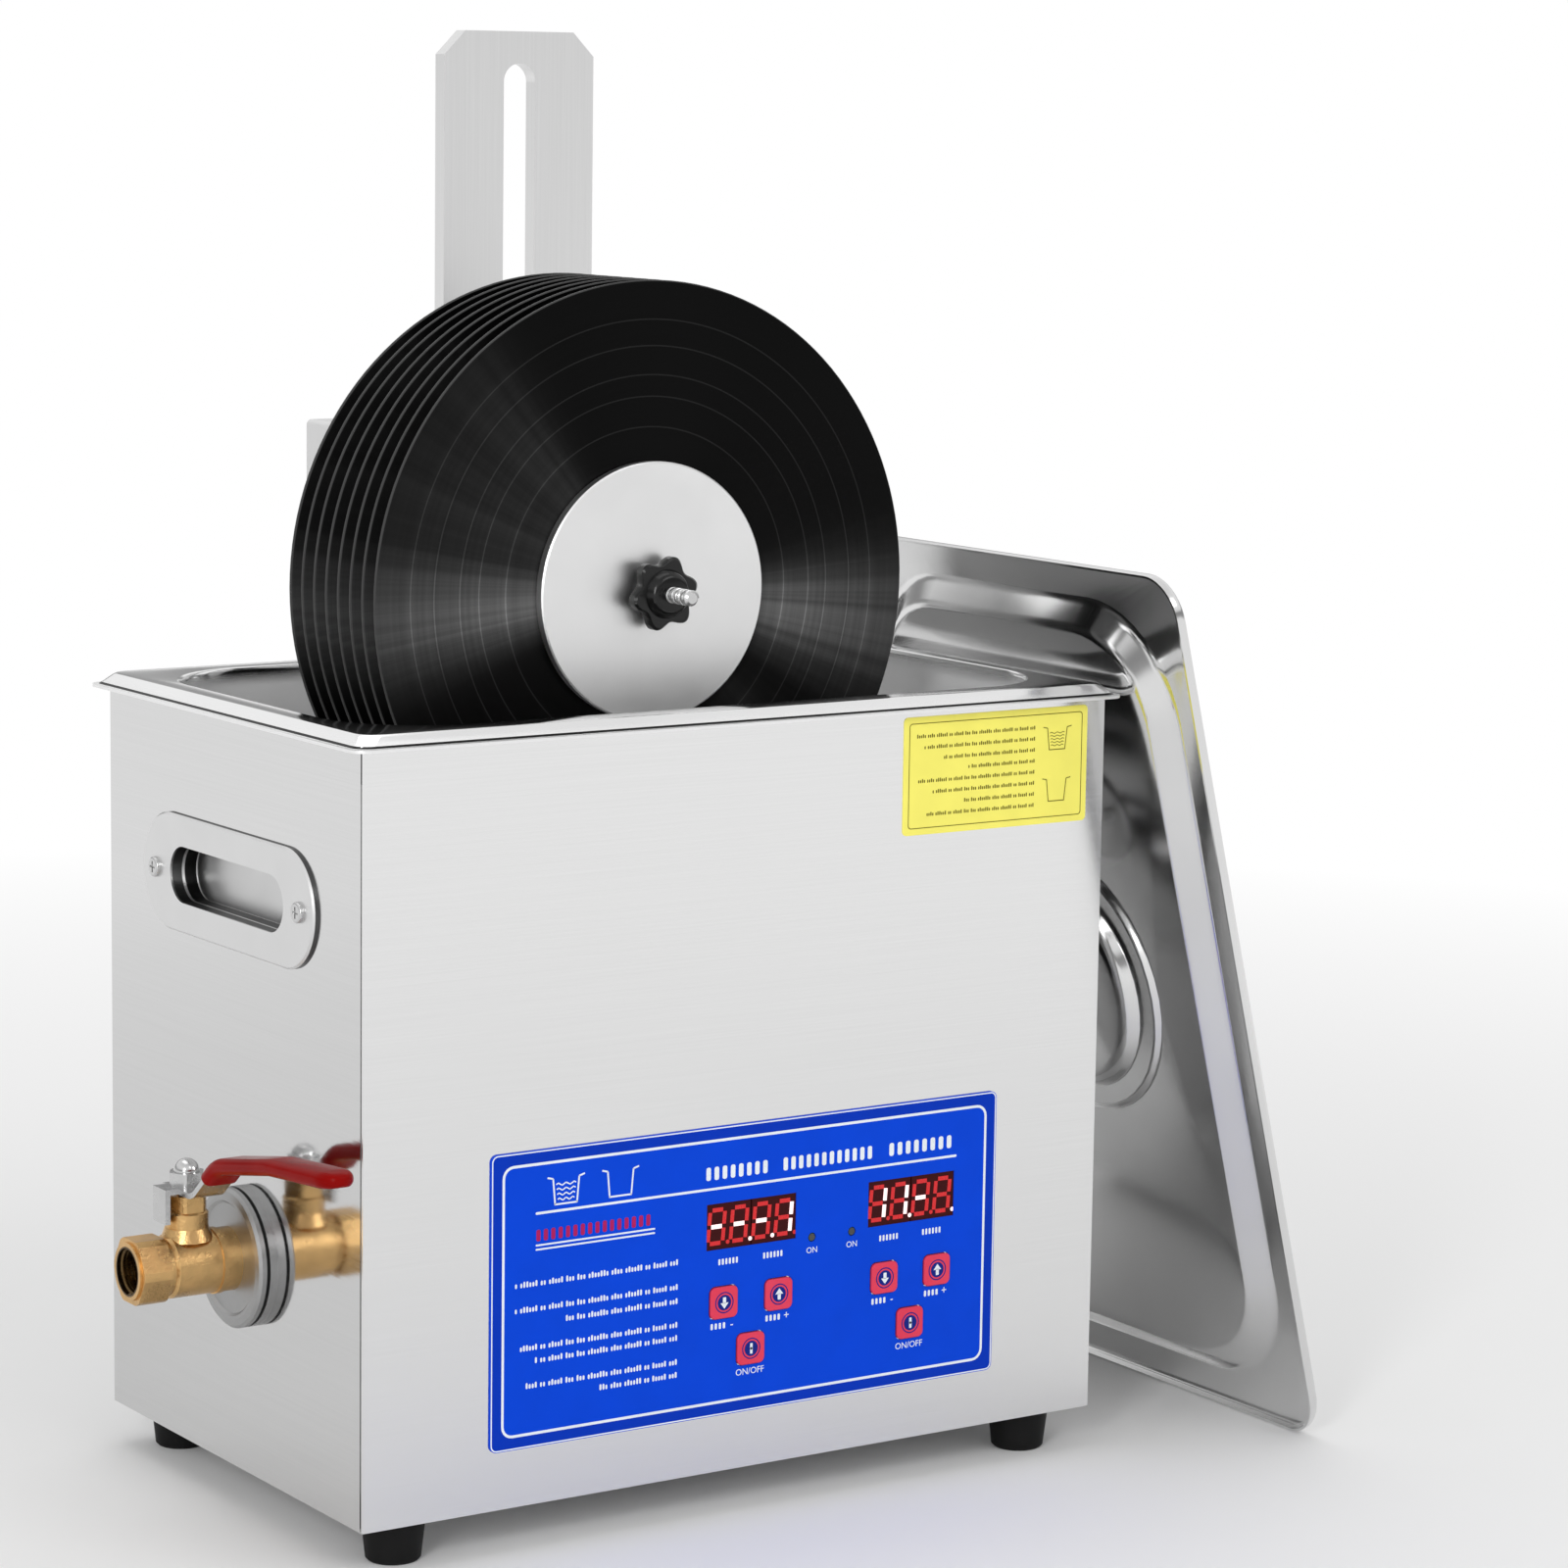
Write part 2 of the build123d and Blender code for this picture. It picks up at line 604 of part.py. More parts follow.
def make_heater_pad():
    """A flat heating pad that hugs the rear wall of the tank."""
    low = TANK_BOTTOM + 30
    high = low + HEATER_H
    wall_low = heater_wall_y(low)
    wall_high = heater_wall_y(high)
    side = Polyline(
        (wall_low, low), (wall_low + HEATER_T, low), (wall_high + HEATER_T, high),
        (wall_high, high), (wall_low, low),
    )
    return extrude(Plane.YZ * make_face(side), HEATER_W / 2, both=True)


def heater_wall_y(z):
    """Outside of the tank's rear wall at a height, a hair off for the pad's adhesive."""
    return TANK_D / 2 + TANK_T - (RIM_TOP - z) * math.tan(math.radians(TANK_DRAFT)) + 0.05


def make_generator_board():
    """The ultrasonic drive: a board on posts, its transformer, chokes and finned cooler."""
    on_base = (Align.CENTER, Align.CENTER, Align.MIN)
    floor = FOOT_H + SHEET
    top = floor + POST_H + BOARD_T
    board = Pos(DRIVE_X, 0, floor + POST_H) * Box(DRIVE_W, DRIVE_D, BOARD_T, align=on_base)
    for side_x in (-1, 1):
        for side_y in (-1, 1):
            corner = Pos(DRIVE_X + side_x * (DRIVE_W / 2 - 7), side_y * (DRIVE_D / 2 - 7), floor)
            board += corner * Cylinder(3, POST_H, align=on_base)
    transformer = Pos(DRIVE_X - 50, 20, top)
    board += transformer * Box(32, 28, 26, align=on_base)
    board += transformer * Pos(0, 0, 5) * Box(24, 34, 14, align=on_base)
    for x in (-10, 18):
        board += Pos(DRIVE_X + x, 22, top) * Cylinder(11, 24, align=on_base)
    cooler = Pos(DRIVE_X, -26, top)
    board += cooler * Box(58, 26, 4, align=on_base)
    for fin in range(-3, 4):
        board += cooler * Pos(8 * fin, 0, 0) * Box(2, 26, 30, align=on_base)
    return board


def make_fan_frame():
    plane = facing_front(FAN_X, HALF_D - SHEET, FAN_Z)
    frame = block(plane, FAN_SIZE, FAN_SIZE, FAN_DEPTH, 4)
    frame -= rod(plane, FAN_SIZE / 2 - 2, FAN_DEPTH + 1)
    frame += rod(plane.offset(FAN_DEPTH - 2), 11, 2)
    frame += rod(plane.offset(3), FAN_PIN_R, FAN_DEPTH - 4)
    for turn in (45, 135, 225, 315):
        strut = plane.offset(FAN_DEPTH - 2) * Rot(0, 0, turn) * Pos(20, 0) * Rectangle(24, 4)
        frame += extrude(strut, 2)
    for side_x in (-1, 1):
        for side_z in (-1, 1):
            hole = plane * Pos(side_x * 25, side_z * 25) * Circle(2.1)
            frame -= extrude(hole, FAN_DEPTH)
    return frame


def make_fan_rotor():
    """A hub with seven pitched blades."""
    plane = facing_front(FAN_X, HALF_D - SHEET - 1.0, FAN_Z)
    rotor = rod(plane, 12, FAN_DEPTH - 4)
    blade = Pos(0, 18.5, (FAN_DEPTH - 4) / 2) * Rot(0, 38, 0) * Box(12, 16, 1.4)
    for turn in range(7):
        rotor += plane.location * Rot(0, 0, turn * 360 / 7) * blade
    return rotor - rod(plane.offset(1), FAN_PIN_R + RUNNING, FAN_DEPTH)


def make_power_inlet():
    """A snap-in mains inlet with the switch frame above its socket."""
    face = facing_rear(INLET_X, HALF_D, INLET_Z)
    inlet = block(face, INLET_W + 6, INLET_H + 6, 2.2, 3)
    inlet += block(face.offset(-22), INLET_W, INLET_H, 22)
    socket = facing_front(INLET_X, HALF_D + 3, INLET_Z - 11)
    inlet -= block(socket, 24, 17, 19, 3)
    for x, z in ((0, 3.5), (-7, -2), (7, -2)):
        pin = facing_rear(INLET_X + x, HALF_D - 18, INLET_Z - 11 + z)
        inlet += block(pin, 2, 4.5, 12)
    pocket = facing_front(INLET_X, HALF_D + 3, rocker_pivot()[2])
    inlet -= block(pocket, ROCKER_W + 1, 14, 15)
    return inlet - rod(rocker_pin_plane(), ROCKER_PIN_R + RUNNING, ROCKER_W + 5)


def rocker_pivot():
    return (INLET_X, HALF_D - 4.0, INLET_Z + 13)


def rocker_pin_plane():
    pivot = rocker_pivot()
    return facing_right(pivot[0] - ROCKER_W / 2 - 2.5, pivot[1], pivot[2])


def make_power_rocker():
    """The rocker on its pin, tipped to its OFF side: the face is two facets in a shallow V."""
    half_h = 5.6
    side = Polyline(
        (-5, -3), (4.5, -half_h), (6.0, -half_h), (4.8, 0), (6.0, half_h), (4.5, half_h),
        (-5, 3), (-5, -3),
    )
    pivot = rocker_pivot()
    middle = facing_right(*pivot) * Rot(0, 0, -ROCKER_TILT)
    rocker = extrude(middle * make_face(side), ROCKER_W / 2, both=True)
    return rocker + rod(rocker_pin_plane(), ROCKER_PIN_R, ROCKER_W + 5)


# ---- stand

def make_bracket_foot():
    """The floor plate under the case, bent up behind the upright, with two gussets."""
    middle_x = (STAND_X0 + STAND_X1) / 2
    middle_y = (STAND_FRONT_Y + STAND_REAR_Y) / 2
    outline = RectangleRounded(STAND_X1 - STAND_X0, STAND_REAR_Y - STAND_FRONT_Y, 12)
    foot = extrude(Pos(middle_x, middle_y, 0) * outline, STAND_T)
    rear = UPRIGHT_Y + UPRIGHT_T
    foot += Pos(UPRIGHT_X, rear + STAND_T / 2, FLANGE_H / 2) * Box(UPRIGHT_W, STAND_T, FLANGE_H)
    gusset = Polyline(
        (rear + 3, 3), (STAND_REAR_Y - 8, 3), (rear + 3, FLANGE_H - 8), (rear + 3, 3)
    )
    for side in (-1, 1):
        place = facing_right(UPRIGHT_X + side * (UPRIGHT_W / 2 - 2) - 2, 0, 0)
        foot += extrude(place * make_face(gusset), 4)
    for x, z in stand_bolts():
        foot -= rod(facing_rear(x, rear - 1, z), 3.2, STAND_T + 2)
    return foot


def stand_bolts():
    return [(UPRIGHT_X + side * 24, z) for side in (-1, 1) for z in (20, 46)]


def make_upright_plate():
    """The slotted plate that carries the motor box; its top corners are cut at 45 degrees."""
    low = STAND_T
    height = UPRIGHT_TOP - low
    plane = facing_rear(UPRIGHT_X, UPRIGHT_Y, low + height / 2)
    plate = block(plane, UPRIGHT_W, height, UPRIGHT_T)
    top_edges = plate.edges().filter_by(Axis.Y).group_by(Axis.Z)[-1]
    plate = chamfer(top_edges, UPRIGHT_CHAMFER)
    slot_l = SLOT_TOP - SLOT_BOTTOM
    slot = facing_rear(UPRIGHT_X, UPRIGHT_Y - 1, SLOT_BOTTOM + slot_l / 2)
    plate -= extrude(slot * Rot(0, 0, 90) * SlotOverall(slot_l, SLOT_W), UPRIGHT_T + 2)
    for x, z in stand_bolts():
        plate -= rod(facing_rear(x, UPRIGHT_Y - 1, z), 3.2, UPRIGHT_T + 2)
    return plate


def make_motor_box():
    """A five-sided sheet box, open to the back, with a round port for the motor's nose."""
    width = BOX_X1 - BOX_X0
    height = BOX_Z1 - BOX_Z0
    middle_x = (BOX_X0 + BOX_X1) / 2
    outer = block(facing_rear(middle_x, BOX_Y0, BOX_MID_Z), width, height, BOX_D)
    rounds = outer.edges().filter_by(Axis.Y)
    outer = fillet(rounds, 2.4)
    inner = block(
        facing_rear(middle_x, BOX_Y0 + BOX_SHEET, BOX_MID_Z),
        width - 2 * BOX_SHEET, height - 2 * BOX_SHEET, BOX_D,
    )
    box = outer - inner
    box -= rod(facing_rear(SPINDLE_X, BOX_Y0 - 1, SPINDLE_Z), 9.0, 4)
    box -= rod(facing_right(BOX_X1 - 3, JACK_Y, JACK_Z), 5.6, 6)
    return box


def clamp_studs():
    return {
        "upper": BOX_MID_Z + CLAMP_STUD_PITCH / 2,
        "lower": BOX_MID_Z - CLAMP_STUD_PITCH / 2,
    }


def make_motor_box_back():
    """The back plate, with guide blocks that ride in the slot and the studs for the knobs."""
    middle_x = (BOX_X0 + BOX_X1) / 2
    plane = facing_rear(middle_x, BOX_Y1, BOX_MID_Z)
    back = block(plane, BOX_X1 - BOX_X0, BOX_Z1 - BOX_Z0, BACK_T, 2.4)
    for z in clamp_studs().values():
        guide = facing_rear(UPRIGHT_X, BACK_Y1, z)
        back += block(guide, SLOT_W - 2 * FREE, 20, UPRIGHT_T - 0.5, 2)
        back += rod(guide, CLAMP_STUD_R, 28)
    return back


def make_height_knob(z):
    """A star knob with its washer, clamping the motor box at its height."""
    start = UPRIGHT_Y + UPRIGHT_T + FREE
    face = facing_rear(UPRIGHT_X, start, z)
    knob = rod(face, 14, 2.2) + rod(face, 9, 6)
    knob += star_grip(face.offset(6), 19, 12)
    return knob - rod(face.offset(-1), CLAMP_STUD_R + RUNNING, 22)


def make_gearmotor():
    """A flat synchronous gear motor, held by two ears to the front of its box."""
    face = facing_rear(SPINDLE_X, BOX_Y0 + BOX_SHEET, SPINDLE_Z)
    motor = rod(face.offset(1), MOTOR_R, MOTOR_L)
    motor += stadium(Plane(face.origin, x_dir=(0, 0, 1), z_dir=face.z_dir), 84, 14, 2)
    motor += rod(facing_front(SPINDLE_X, BOX_Y0 + 3, SPINDLE_Z), 8.7, 6)
    return motor - rod(facing_rear(SPINDLE_X, BOX_Y0 - 8, SPINDLE_Z), SHAFT_R + RUNNING, 40)


def make_motor_jack():
    face = facing_right(BOX_X1, JACK_Y, JACK_Z)
    return tube(face, 7, 2.9, 1.8) + rod(face.offset(-15), 5.6, 15) - rod(face.offset(-13.5), 2.9, 14)


# ---- spindle and records

def make_motor_shaft():
    return rod(facing_rear(SPINDLE_X, 100, SPINDLE_Z), SHAFT_R, 50)


def make_coupling():
    """A sleeve with two grub screw bosses that joins the motor's shaft to the spindle."""
    face = facing_rear(SPINDLE_X, 88, SPINDLE_Z)
    sleeve = rod(face, 8, 23)
    sleeve = chamfer(sleeve.edges().filter_by(GeomType.CIRCLE), 0.8)
    sleeve -= rod(face.offset(-1), SHAFT_R, 25)
    for y in (94, 105):
        sleeve -= rod(Plane(origin=(SPINDLE_X, y, SPINDLE_Z + SHAFT_R)), 1.6, 6)
    return sleeve


def make_spindle_rod():
    """The rod the records slide onto, turned down to a stud at its front end."""
    shoulder_y = STACK_FRONT_Y - CLAMP_T + 1
    spindle = rod(facing_front(SPINDLE_X, 100, SPINDLE_Z), SHAFT_R, 100 - shoulder_y)
    stud = rod(facing_front(SPINDLE_X, shoulder_y, SPINDLE_Z), STUD_R, shoulder_y - STUD_TIP_Y)
    return spindle + chamfer(stud.faces().sort_by(Axis.Y)[0].edges(), 0.8)


def make_record(number):
    """A pressed disc: raised label land, thinner grooved band and a rounded outer bead."""
    front = STACK_FRONT_Y + (number - 1) * RECORD_PITCH
    face = facing_rear(SPINDLE_X, front, SPINDLE_Z)
    step = (LABEL_T - RECORD_T) / 2
    band = rod(face.offset(step), RECORD_R, RECORD_T)
    band = chamfer(band.edges().filter_by(GeomType.CIRCLE), 0.5)
    disc = band + rod(face, LABEL_R, LABEL_T)
    return disc - rod(face.offset(-1), RECORD_BORE_R, LABEL_T + 2)


def make_spacers():
    rings = []
    for number in range(1, RECORD_COUNT):
        y = STACK_FRONT_Y + (number - 1) * RECORD_PITCH + LABEL_T
        face = facing_rear(SPINDLE_X, y, SPINDLE_Z)
        rings.append(tube(face, SPACER_R, RECORD_BORE_R, RECORD_PITCH - LABEL_T))
    return rings


def make_rear_clamp_disc():
    face = facing_rear(SPINDLE_X, STACK_REAR_Y, SPINDLE_Z)
    disc = rod(face, CLAMP_R, CLAMP_T)
    disc = chamfer(disc.edges().filter_by(GeomType.CIRCLE), 0.6)
    disc += rod(face, 11, CLAMP_T + 10)
    return disc - rod(face.offset(-1), SHAFT_R, 30)


def make_front_clamp_disc():
    """The front disc, relieved at its back so that only its rim presses on the label."""
    face = facing_front(SPINDLE_X, STACK_FRONT_Y, SPINDLE_Z)
    disc = rod(face, CLAMP_R, CLAMP_T)
    disc = chamfer(disc.edges().filter_by(GeomType.CIRCLE), 0.6)
    disc -= tube(face.offset(-1), CLAMP_R - 6, 12, 2.2)
    return disc - rod(face.offset(-1), SHAFT_R, 10)


def make_clamp_knob():
    start = STACK_FRONT_Y - CLAMP_T - FREE
    face = facing_front(SPINDLE_X, start, SPINDLE_Z)
    knob = star_grip(face.offset(3), KNOB_R, KNOB_T) + rod(face, 8.5, 4)
    cap = extrude(face.offset(3 + KNOB_T) * Circle(KNOB_CAP_R), 2.4, taper=35)
    return knob + cap - rod(face.offset(-1), STUD_R + RUNNING, 30)


# ---- lid

def lid_plane():
    """The lid's own frame: its origin at the middle of the flange's underside, its X to the
    back, its Y up along the lid, and its Z out of the top face, away from the case."""
    lean = math.radians(LID_LEAN)
    up = Vector(-math.sin(lean), 0, math.cos(lean))
    out = Vector(math.cos(lean), 0, math.sin(lean))
    centre_z = LID_L / 2 * up.Z + LID_SKIRT * out.Z + FREE
    contact = Vector(HALF_W + LIP_OVERHANG, 0, LIP_Z + TANK_T)
    behind = (contact.Z - centre_z) * out.Z + LID_DROP + FREE
    return Plane(origin=(contact.X + behind / out.X, LID_Y, centre_z), x_dir=(0, 1, 0), z_dir=out)


def lid_pressing(level, grow):
    """The pressed middle of the lid as a solid, from the flange's level down: sloping walls
    round a flat panel, and in it the round, stepped cup for the hand."""
    width = LID_W - 2 * LID_FLANGE + 2 * grow
    length = LID_L - 2 * LID_FLANGE + 2 * grow
    slope = math.degrees(math.atan(LID_WALL / LID_DROP))
    outline = RectangleRounded(width, length, LID_WALL_R + grow)
    pressing = extrude(Pos(0, 0, level) * outline, -LID_DROP, taper=slope)
    pressing = fillet(pressing.faces().sort_by(Axis.Z)[0].edges(), LID_BEND)
    panel = level - LID_DROP
    step_slope = math.degrees(math.atan((LID_CUP_R - LID_CUP_STEP_R) / LID_CUP_STEP))
    pressing += extrude(Pos(0, 0, panel) * Circle(LID_CUP_R + grow), -LID_CUP_STEP, taper=step_slope)
    deeper = LID_CUP_DEPTH - LID_CUP_STEP
    cup_slope = math.degrees(math.atan((LID_CUP_STEP_R - 3 - LID_CUP_TIP_R) / deeper))
    mouth = Pos(0, 0, panel - LID_CUP_STEP) * Circle(LID_CUP_STEP_R - 3 + grow)
    cup = extrude(mouth, -deeper, taper=cup_slope)
    return pressing + fillet(cup.faces().sort_by(Axis.Z)[0].edges(), 6)


def make_lid_pan():
    """One pressing: a flange with a low skirt, a sunken panel, and a round cup for the hand."""
    outer = extrude(Pos(0, 0, -LID_SKIRT) * RectangleRounded(LID_W, LID_L, LID_R), LID_SKIRT + LID_T)
    outer = fillet(outer.faces().sort_by(Axis.Z)[-1].edges(), LID_BEND)
    inside = RectangleRounded(LID_W - 2 * LID_T, LID_L - 2 * LID_T, LID_R - LID_T)
    pan = outer - extrude(Pos(0, 0, -LID_SKIRT - 1) * inside, LID_SKIRT + 1)
    pan = pan + lid_pressing(0, 0.3) - lid_pressing(LID_T, 0)
    return lid_plane().location * pan


def make_lid_handle():
    """A bent bar across the cup, its feet on the panel and its top level with the flange."""
    foot = LID_T - LID_DROP + LID_BAR_T / 2
    top = foot + LID_BAR_RISE
    reach = LID_CUP_R + 10
    path = FilletPolyline(
        (-reach, foot), (-LID_CUP_R, foot), (8 - LID_CUP_R, top), (LID_CUP_R - 8, top),
        (LID_CUP_R, foot), (reach, foot), radius=4,
    )
    bar = extrude(Plane.YZ * trace(path, LID_BAR_T), LID_BAR_W / 2, both=True)
    return lid_plane().location * bar


# ---- fasteners

def pan_screw(plane, radius, shank_r, shank_l):
    """A cross-recessed pan head on its shank; the plane is the seat of the head."""
    head = extrude(plane * Circle(radius), 1.7)
    head = fillet(head.faces().sort_by(Axis(plane.origin, plane.z_dir))[-1].edges(), 1.0)
    recess = plane.offset(0.9)
    head -= extrude(recess * Rectangle(radius * 1.1, 0.9), 1)
    head -= extrude(recess * Rectangle(0.9, radius * 1.1), 1)
    return head + rod(plane.offset(-shank_l), shank_r, shank_l)


def make_fasteners():
    """Handle screws, foot screws and the bolts of the stand."""
    pieces = []
    walls = (
        facing_left(-HALF_W - HANDLE_T, 0, HANDLE_Z),
        facing_right(HALF_W + HANDLE_T, 0, HANDLE_Z),
    )
    for wall in walls:
        for end in (-1, 1):
            seat = Plane(
                wall.origin + wall.x_dir * (end * HANDLE_SCREW_SPACING / 2),
                x_dir=wall.x_dir, z_dir=wall.z_dir,
            )
            pieces.append(pan_screw(seat, 4.2, 2.1, HANDLE_T + SHEET + 2))
    for x, y in FOOT_PLACES:
        seat = Plane(origin=(x, y, 12), x_dir=(1, 0, 0), z_dir=(0, 0, -1))
        pieces.append(pan_screw(seat, 3.9, 2.1, FOOT_H - 12 + SHEET))
    front = UPRIGHT_Y
    rear = UPRIGHT_Y + UPRIGHT_T + STAND_T
    for x, z in stand_bolts():
        bolt = hexagon(facing_rear(x, rear, z), 10, 4)
        bolt += rod(facing_front(x, rear, z), 3.2, rear - front)
        bolt += tube(facing_front(x, front, z), 6, 1.5, 2.6)
        pieces.append(bolt)
    return pieces


# ---- the whole machine

def build_nodes():
    nodes = {
        "front_panel": make_front_panel(),
        "case_wrap": make_case_wrap(),
        "base_plate": make_base_plate(),
        "tank": make_tank(),
        "rubber_feet": make_rubber_feet(),
        "handle_left": make_handle(facing_left(-HALF_W, 0, HANDLE_Z)),
        "handle_right": make_handle(facing_right(HALF_W, 0, HANDLE_Z)),
        "fasteners": make_fasteners(),
        "drain_elbow": make_drain_elbow(),
        "drain_gasket": make_drain_gasket(),
        "drain_washer": make_drain_washer(),
        "valve_body": make_valve_body(),
        "valve_ball": make_valve_ball(),
        "valve_stem": make_valve_stem(),
        "packing_nut": make_packing_nut(),
        "control_overlay": make_control_overlay(),
        "control_board": make_control_board(),
        "time_display": make_display(GROUPS["time"]),
        "temp_display": make_display(GROUPS["temp"]),
        "transducers": make_transducers(),
        "heater_pad": make_heater_pad(),
        "generator_board": make_generator_board(),
        "fan_frame": make_fan_frame(),
        "fan_rotor": make_fan_rotor(),
        "power_inlet": make_power_inlet(),
        "power_rocker": make_power_rocker(),
        "bracket_foot": make_bracket_foot(),
        "upright_plate": make_upright_plate(),
        "motor_box": make_motor_box(),
        "motor_box_back": make_motor_box_back(),
        "motor_jack": make_motor_jack(),
        "gearmotor": make_gearmotor(),
        "motor_shaft": make_motor_shaft(),
        "shaft_coupling": make_coupling(),
        "spindle_rod": make_spindle_rod(),
        "rear_clamp_disc": make_rear_clamp_disc(),
        "front_clamp_disc": make_front_clamp_disc(),
        "record_spacers": make_spacers(),
        "clamp_knob": make_clamp_knob(),
        "lid_pan": make_lid_pan(),
        "lid_handle": make_lid_handle(),
    }
    nodes["valve_lever"] = make_lever()
    nodes["lever_sleeve"] = make_lever_sleeve(nodes["valve_lever"])
    nodes["lever_nut"] = make_lever_nut(nodes["valve_stem"])
    for name, (x, z) in key_places().items():
        nodes[name] = make_key(x, z)
    for name, z in clamp_studs().items():
        nodes[f"height_knob_{name}"] = make_height_knob(z)
    for number in range(1, RECORD_COUNT + 1):
        nodes[f"record_{number}"] = make_record(number)
    return nodes


def write_parts(nodes):
    os.makedirs("parts", exist_ok=True)
    for name, shape in nodes.items():
        solids = shape if isinstance(shape, list) else [shape]
        export_step(Compound(children=[Part(s.wrapped) for piece in solids for s in piece.solids()]),
                    f"parts/{name}.step")


write_parts(build_nodes())
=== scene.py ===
import json
import math
from itertools import cycle

import bmesh
import bpy
from mathutils import Euler, Matrix, Vector


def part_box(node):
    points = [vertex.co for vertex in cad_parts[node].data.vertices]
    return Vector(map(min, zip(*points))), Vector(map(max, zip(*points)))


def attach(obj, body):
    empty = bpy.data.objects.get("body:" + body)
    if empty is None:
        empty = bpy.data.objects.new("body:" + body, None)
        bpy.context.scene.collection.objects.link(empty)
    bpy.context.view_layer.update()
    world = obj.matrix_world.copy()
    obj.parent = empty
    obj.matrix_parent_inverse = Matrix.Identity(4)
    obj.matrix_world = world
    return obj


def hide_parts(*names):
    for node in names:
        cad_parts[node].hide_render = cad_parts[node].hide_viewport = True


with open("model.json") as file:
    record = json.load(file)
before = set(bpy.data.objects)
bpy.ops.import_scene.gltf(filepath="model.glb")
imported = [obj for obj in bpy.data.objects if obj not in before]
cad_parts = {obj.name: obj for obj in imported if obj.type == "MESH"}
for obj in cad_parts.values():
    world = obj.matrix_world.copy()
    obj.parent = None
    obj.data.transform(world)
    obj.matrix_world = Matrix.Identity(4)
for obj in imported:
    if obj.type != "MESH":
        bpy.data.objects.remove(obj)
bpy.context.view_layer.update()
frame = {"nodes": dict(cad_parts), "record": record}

# Record cleaning machine. Metres; X right along the front, Y to the back, Z up.
MM = 0.001
QUARTER = math.pi / 2
SHARP_ANGLE = math.radians(38.0)
SQUARE_ANGLE = math.radians(60.0)

# ---- camera
CAMERA_AT = (-1.01018, -1.64203, 0.56801)
CAMERA_YAW = 33.789
CAMERA_PITCH = 8.377
CAMERA_ROLL = 0.849
CAMERA_LENS = 107.43

# ---- light: the floor and how far out it fades to white; the backdrop's level by height
FLOOR = (0.86, 0.86, 0.86, 1.0)
FLOOR_REACH = 12.0
FLOOR_FADE = (0.38, 1.6)
ROOM_LIGHT = 0.8
BACKDROP = ((0.04, 1.0), (0.1, 0.35), (0.22, 0.25), (0.31, 0.95), (0.6, 1.0))
ZENITH = 0.8

# ---- lamps: place, size and power; they all aim at one point
LAMPS = {
    "key_light": ((-2.1, -1.8, 1.1), (0.5, 1.2), 24),
    "fill_light": ((0.9, -2.4, 2.2), (1.8, 1.0), 12),
    "top_light": ((0.0, 0.4, 2.4), (1.8, 1.8), 12),
}
LAMP_TARGET = Vector((0.0, 0.0, 0.25))

# ---- painted highlights on the records, fan-shaped and painted into their colour: each one's direction from straight right in degrees, narrowness, level
VINYL_PAINTED_FANS = (
    (-9, 45.0, 0.55), (184, 70.0, 0.55), (160, 14.0, 0.09), (132, 90.0, 0.07), (-48, 60.0, 0.05),
)
# bare rings between the tracks, painted as thin highlight lines, in metres: their radii, and half their
# width
TRACK_GAPS = (0.0662, 0.0784, 0.0871, 0.0987, 0.1093)
TRACK_GAP = 0.00028

# ---- the tank and its rim, in mm; bends are how far before each corner of a section its bend starts
TANK_SHEET = 1.2
LIP_TOP = 323.2
LIP_FLAT = 2.0
RIM_CORNER = 7.0
CROWN_TOP = 328.0
CROWN_INSET = 6.5
CROWN_POLISHED = 2.0
# the painted shade line in the rim's fold: its inset from the lip's edge, and its height
SHADE_LINE_INSET = 4.5
SHADE_LINE_Z = 323.75
TANK_W = 330.0
TANK_D = 196.0
TANK_R = 45.0
TANK_DRAFT = 3.5
DRAIN_AT = (-118.0, -13.0)
DRAIN_R = 7.0
TANK_BENDS = (0.5, 1.0, 2.4, 17.0, 0.4)

# ---- the carrying handles: distance from the machine's middle in mm, and how light; the dark bands are painted shade in the cup's walls and collar, the narrow light band between them a painted highlight on the cup's ledge
PULL_TONE_AND_SHADE_BANDS = (
    (163.0, 206), (165.2, 206), (165.4, 20), (170.4, 34), (170.7, 236),
    (171.6, 236), (171.9, 82), (176.0, 96), (176.3, 216), (178.0, 216),
)

# ---- the lid, in mm in its own frame: Y up along it, Z out of its top face
LID_LEAN = 13.8
LID_W = 240.0
LID_L = 386.0
LID_SHEET = 1.0
LID_CORNER = 18.0
LID_SKIRT = 4.0
LID_FLANGE = 16.0
LID_WALL = 11.0
LID_WALL_CORNER = 52.0
LID_PANEL = -8.0
CUP_AT = (-7.0, 1.5)
CUP_R = 60.5
CUP_STEP_R = 58.3
CUP_STEP = 2.5
CUP_DOME_R = 49.0
CUP_SHOULDER_R = 45.5
CUP_SHOULDER = 6.5
CUP_TIP_R = 30.0
CUP_DEPTH = 11.0
LID_BENDS = (2.0, 2.4, 2.4, 0.8, 0.8, 0.8, 4.0, 12.0)
BAR_W = 18.0
BAR_T = 3.0
BAR_RISE = 5.0
BAR_FOOT = 11.0
BAR_SLOPE = 8.0
BAR_EDGE = 0.4
BAR_BENDS = (3.0, 4.0, 4.0, 3.0)

# ---- the drain lever's grip, in mm from the valve's stem: reach to the front, height; its mouth is
# drawn in over a short step, its round tip's length is in half widths, and its corners are shares of
# half its section's lesser side
GRIP_PATH = ((28.5, 40.7), (36.0, 47.0), (80.0, 55.5), (120.5, 59.0))
GRIP_BENDS = (5.0, 1.0)
GRIP_W = 15.4
GRIP_T = 6.6
GRIP_MOUTH_STEP = 0.8
GRIP_MOUTH_INSET = 1.0
GRIP_TIP = 1.3
GRIP_TIP_TURNS = (14, 28, 42, 56, 70, 84)
GRIP_CORNER = 0.96
STEM_FROM_OUTLET = 26.0

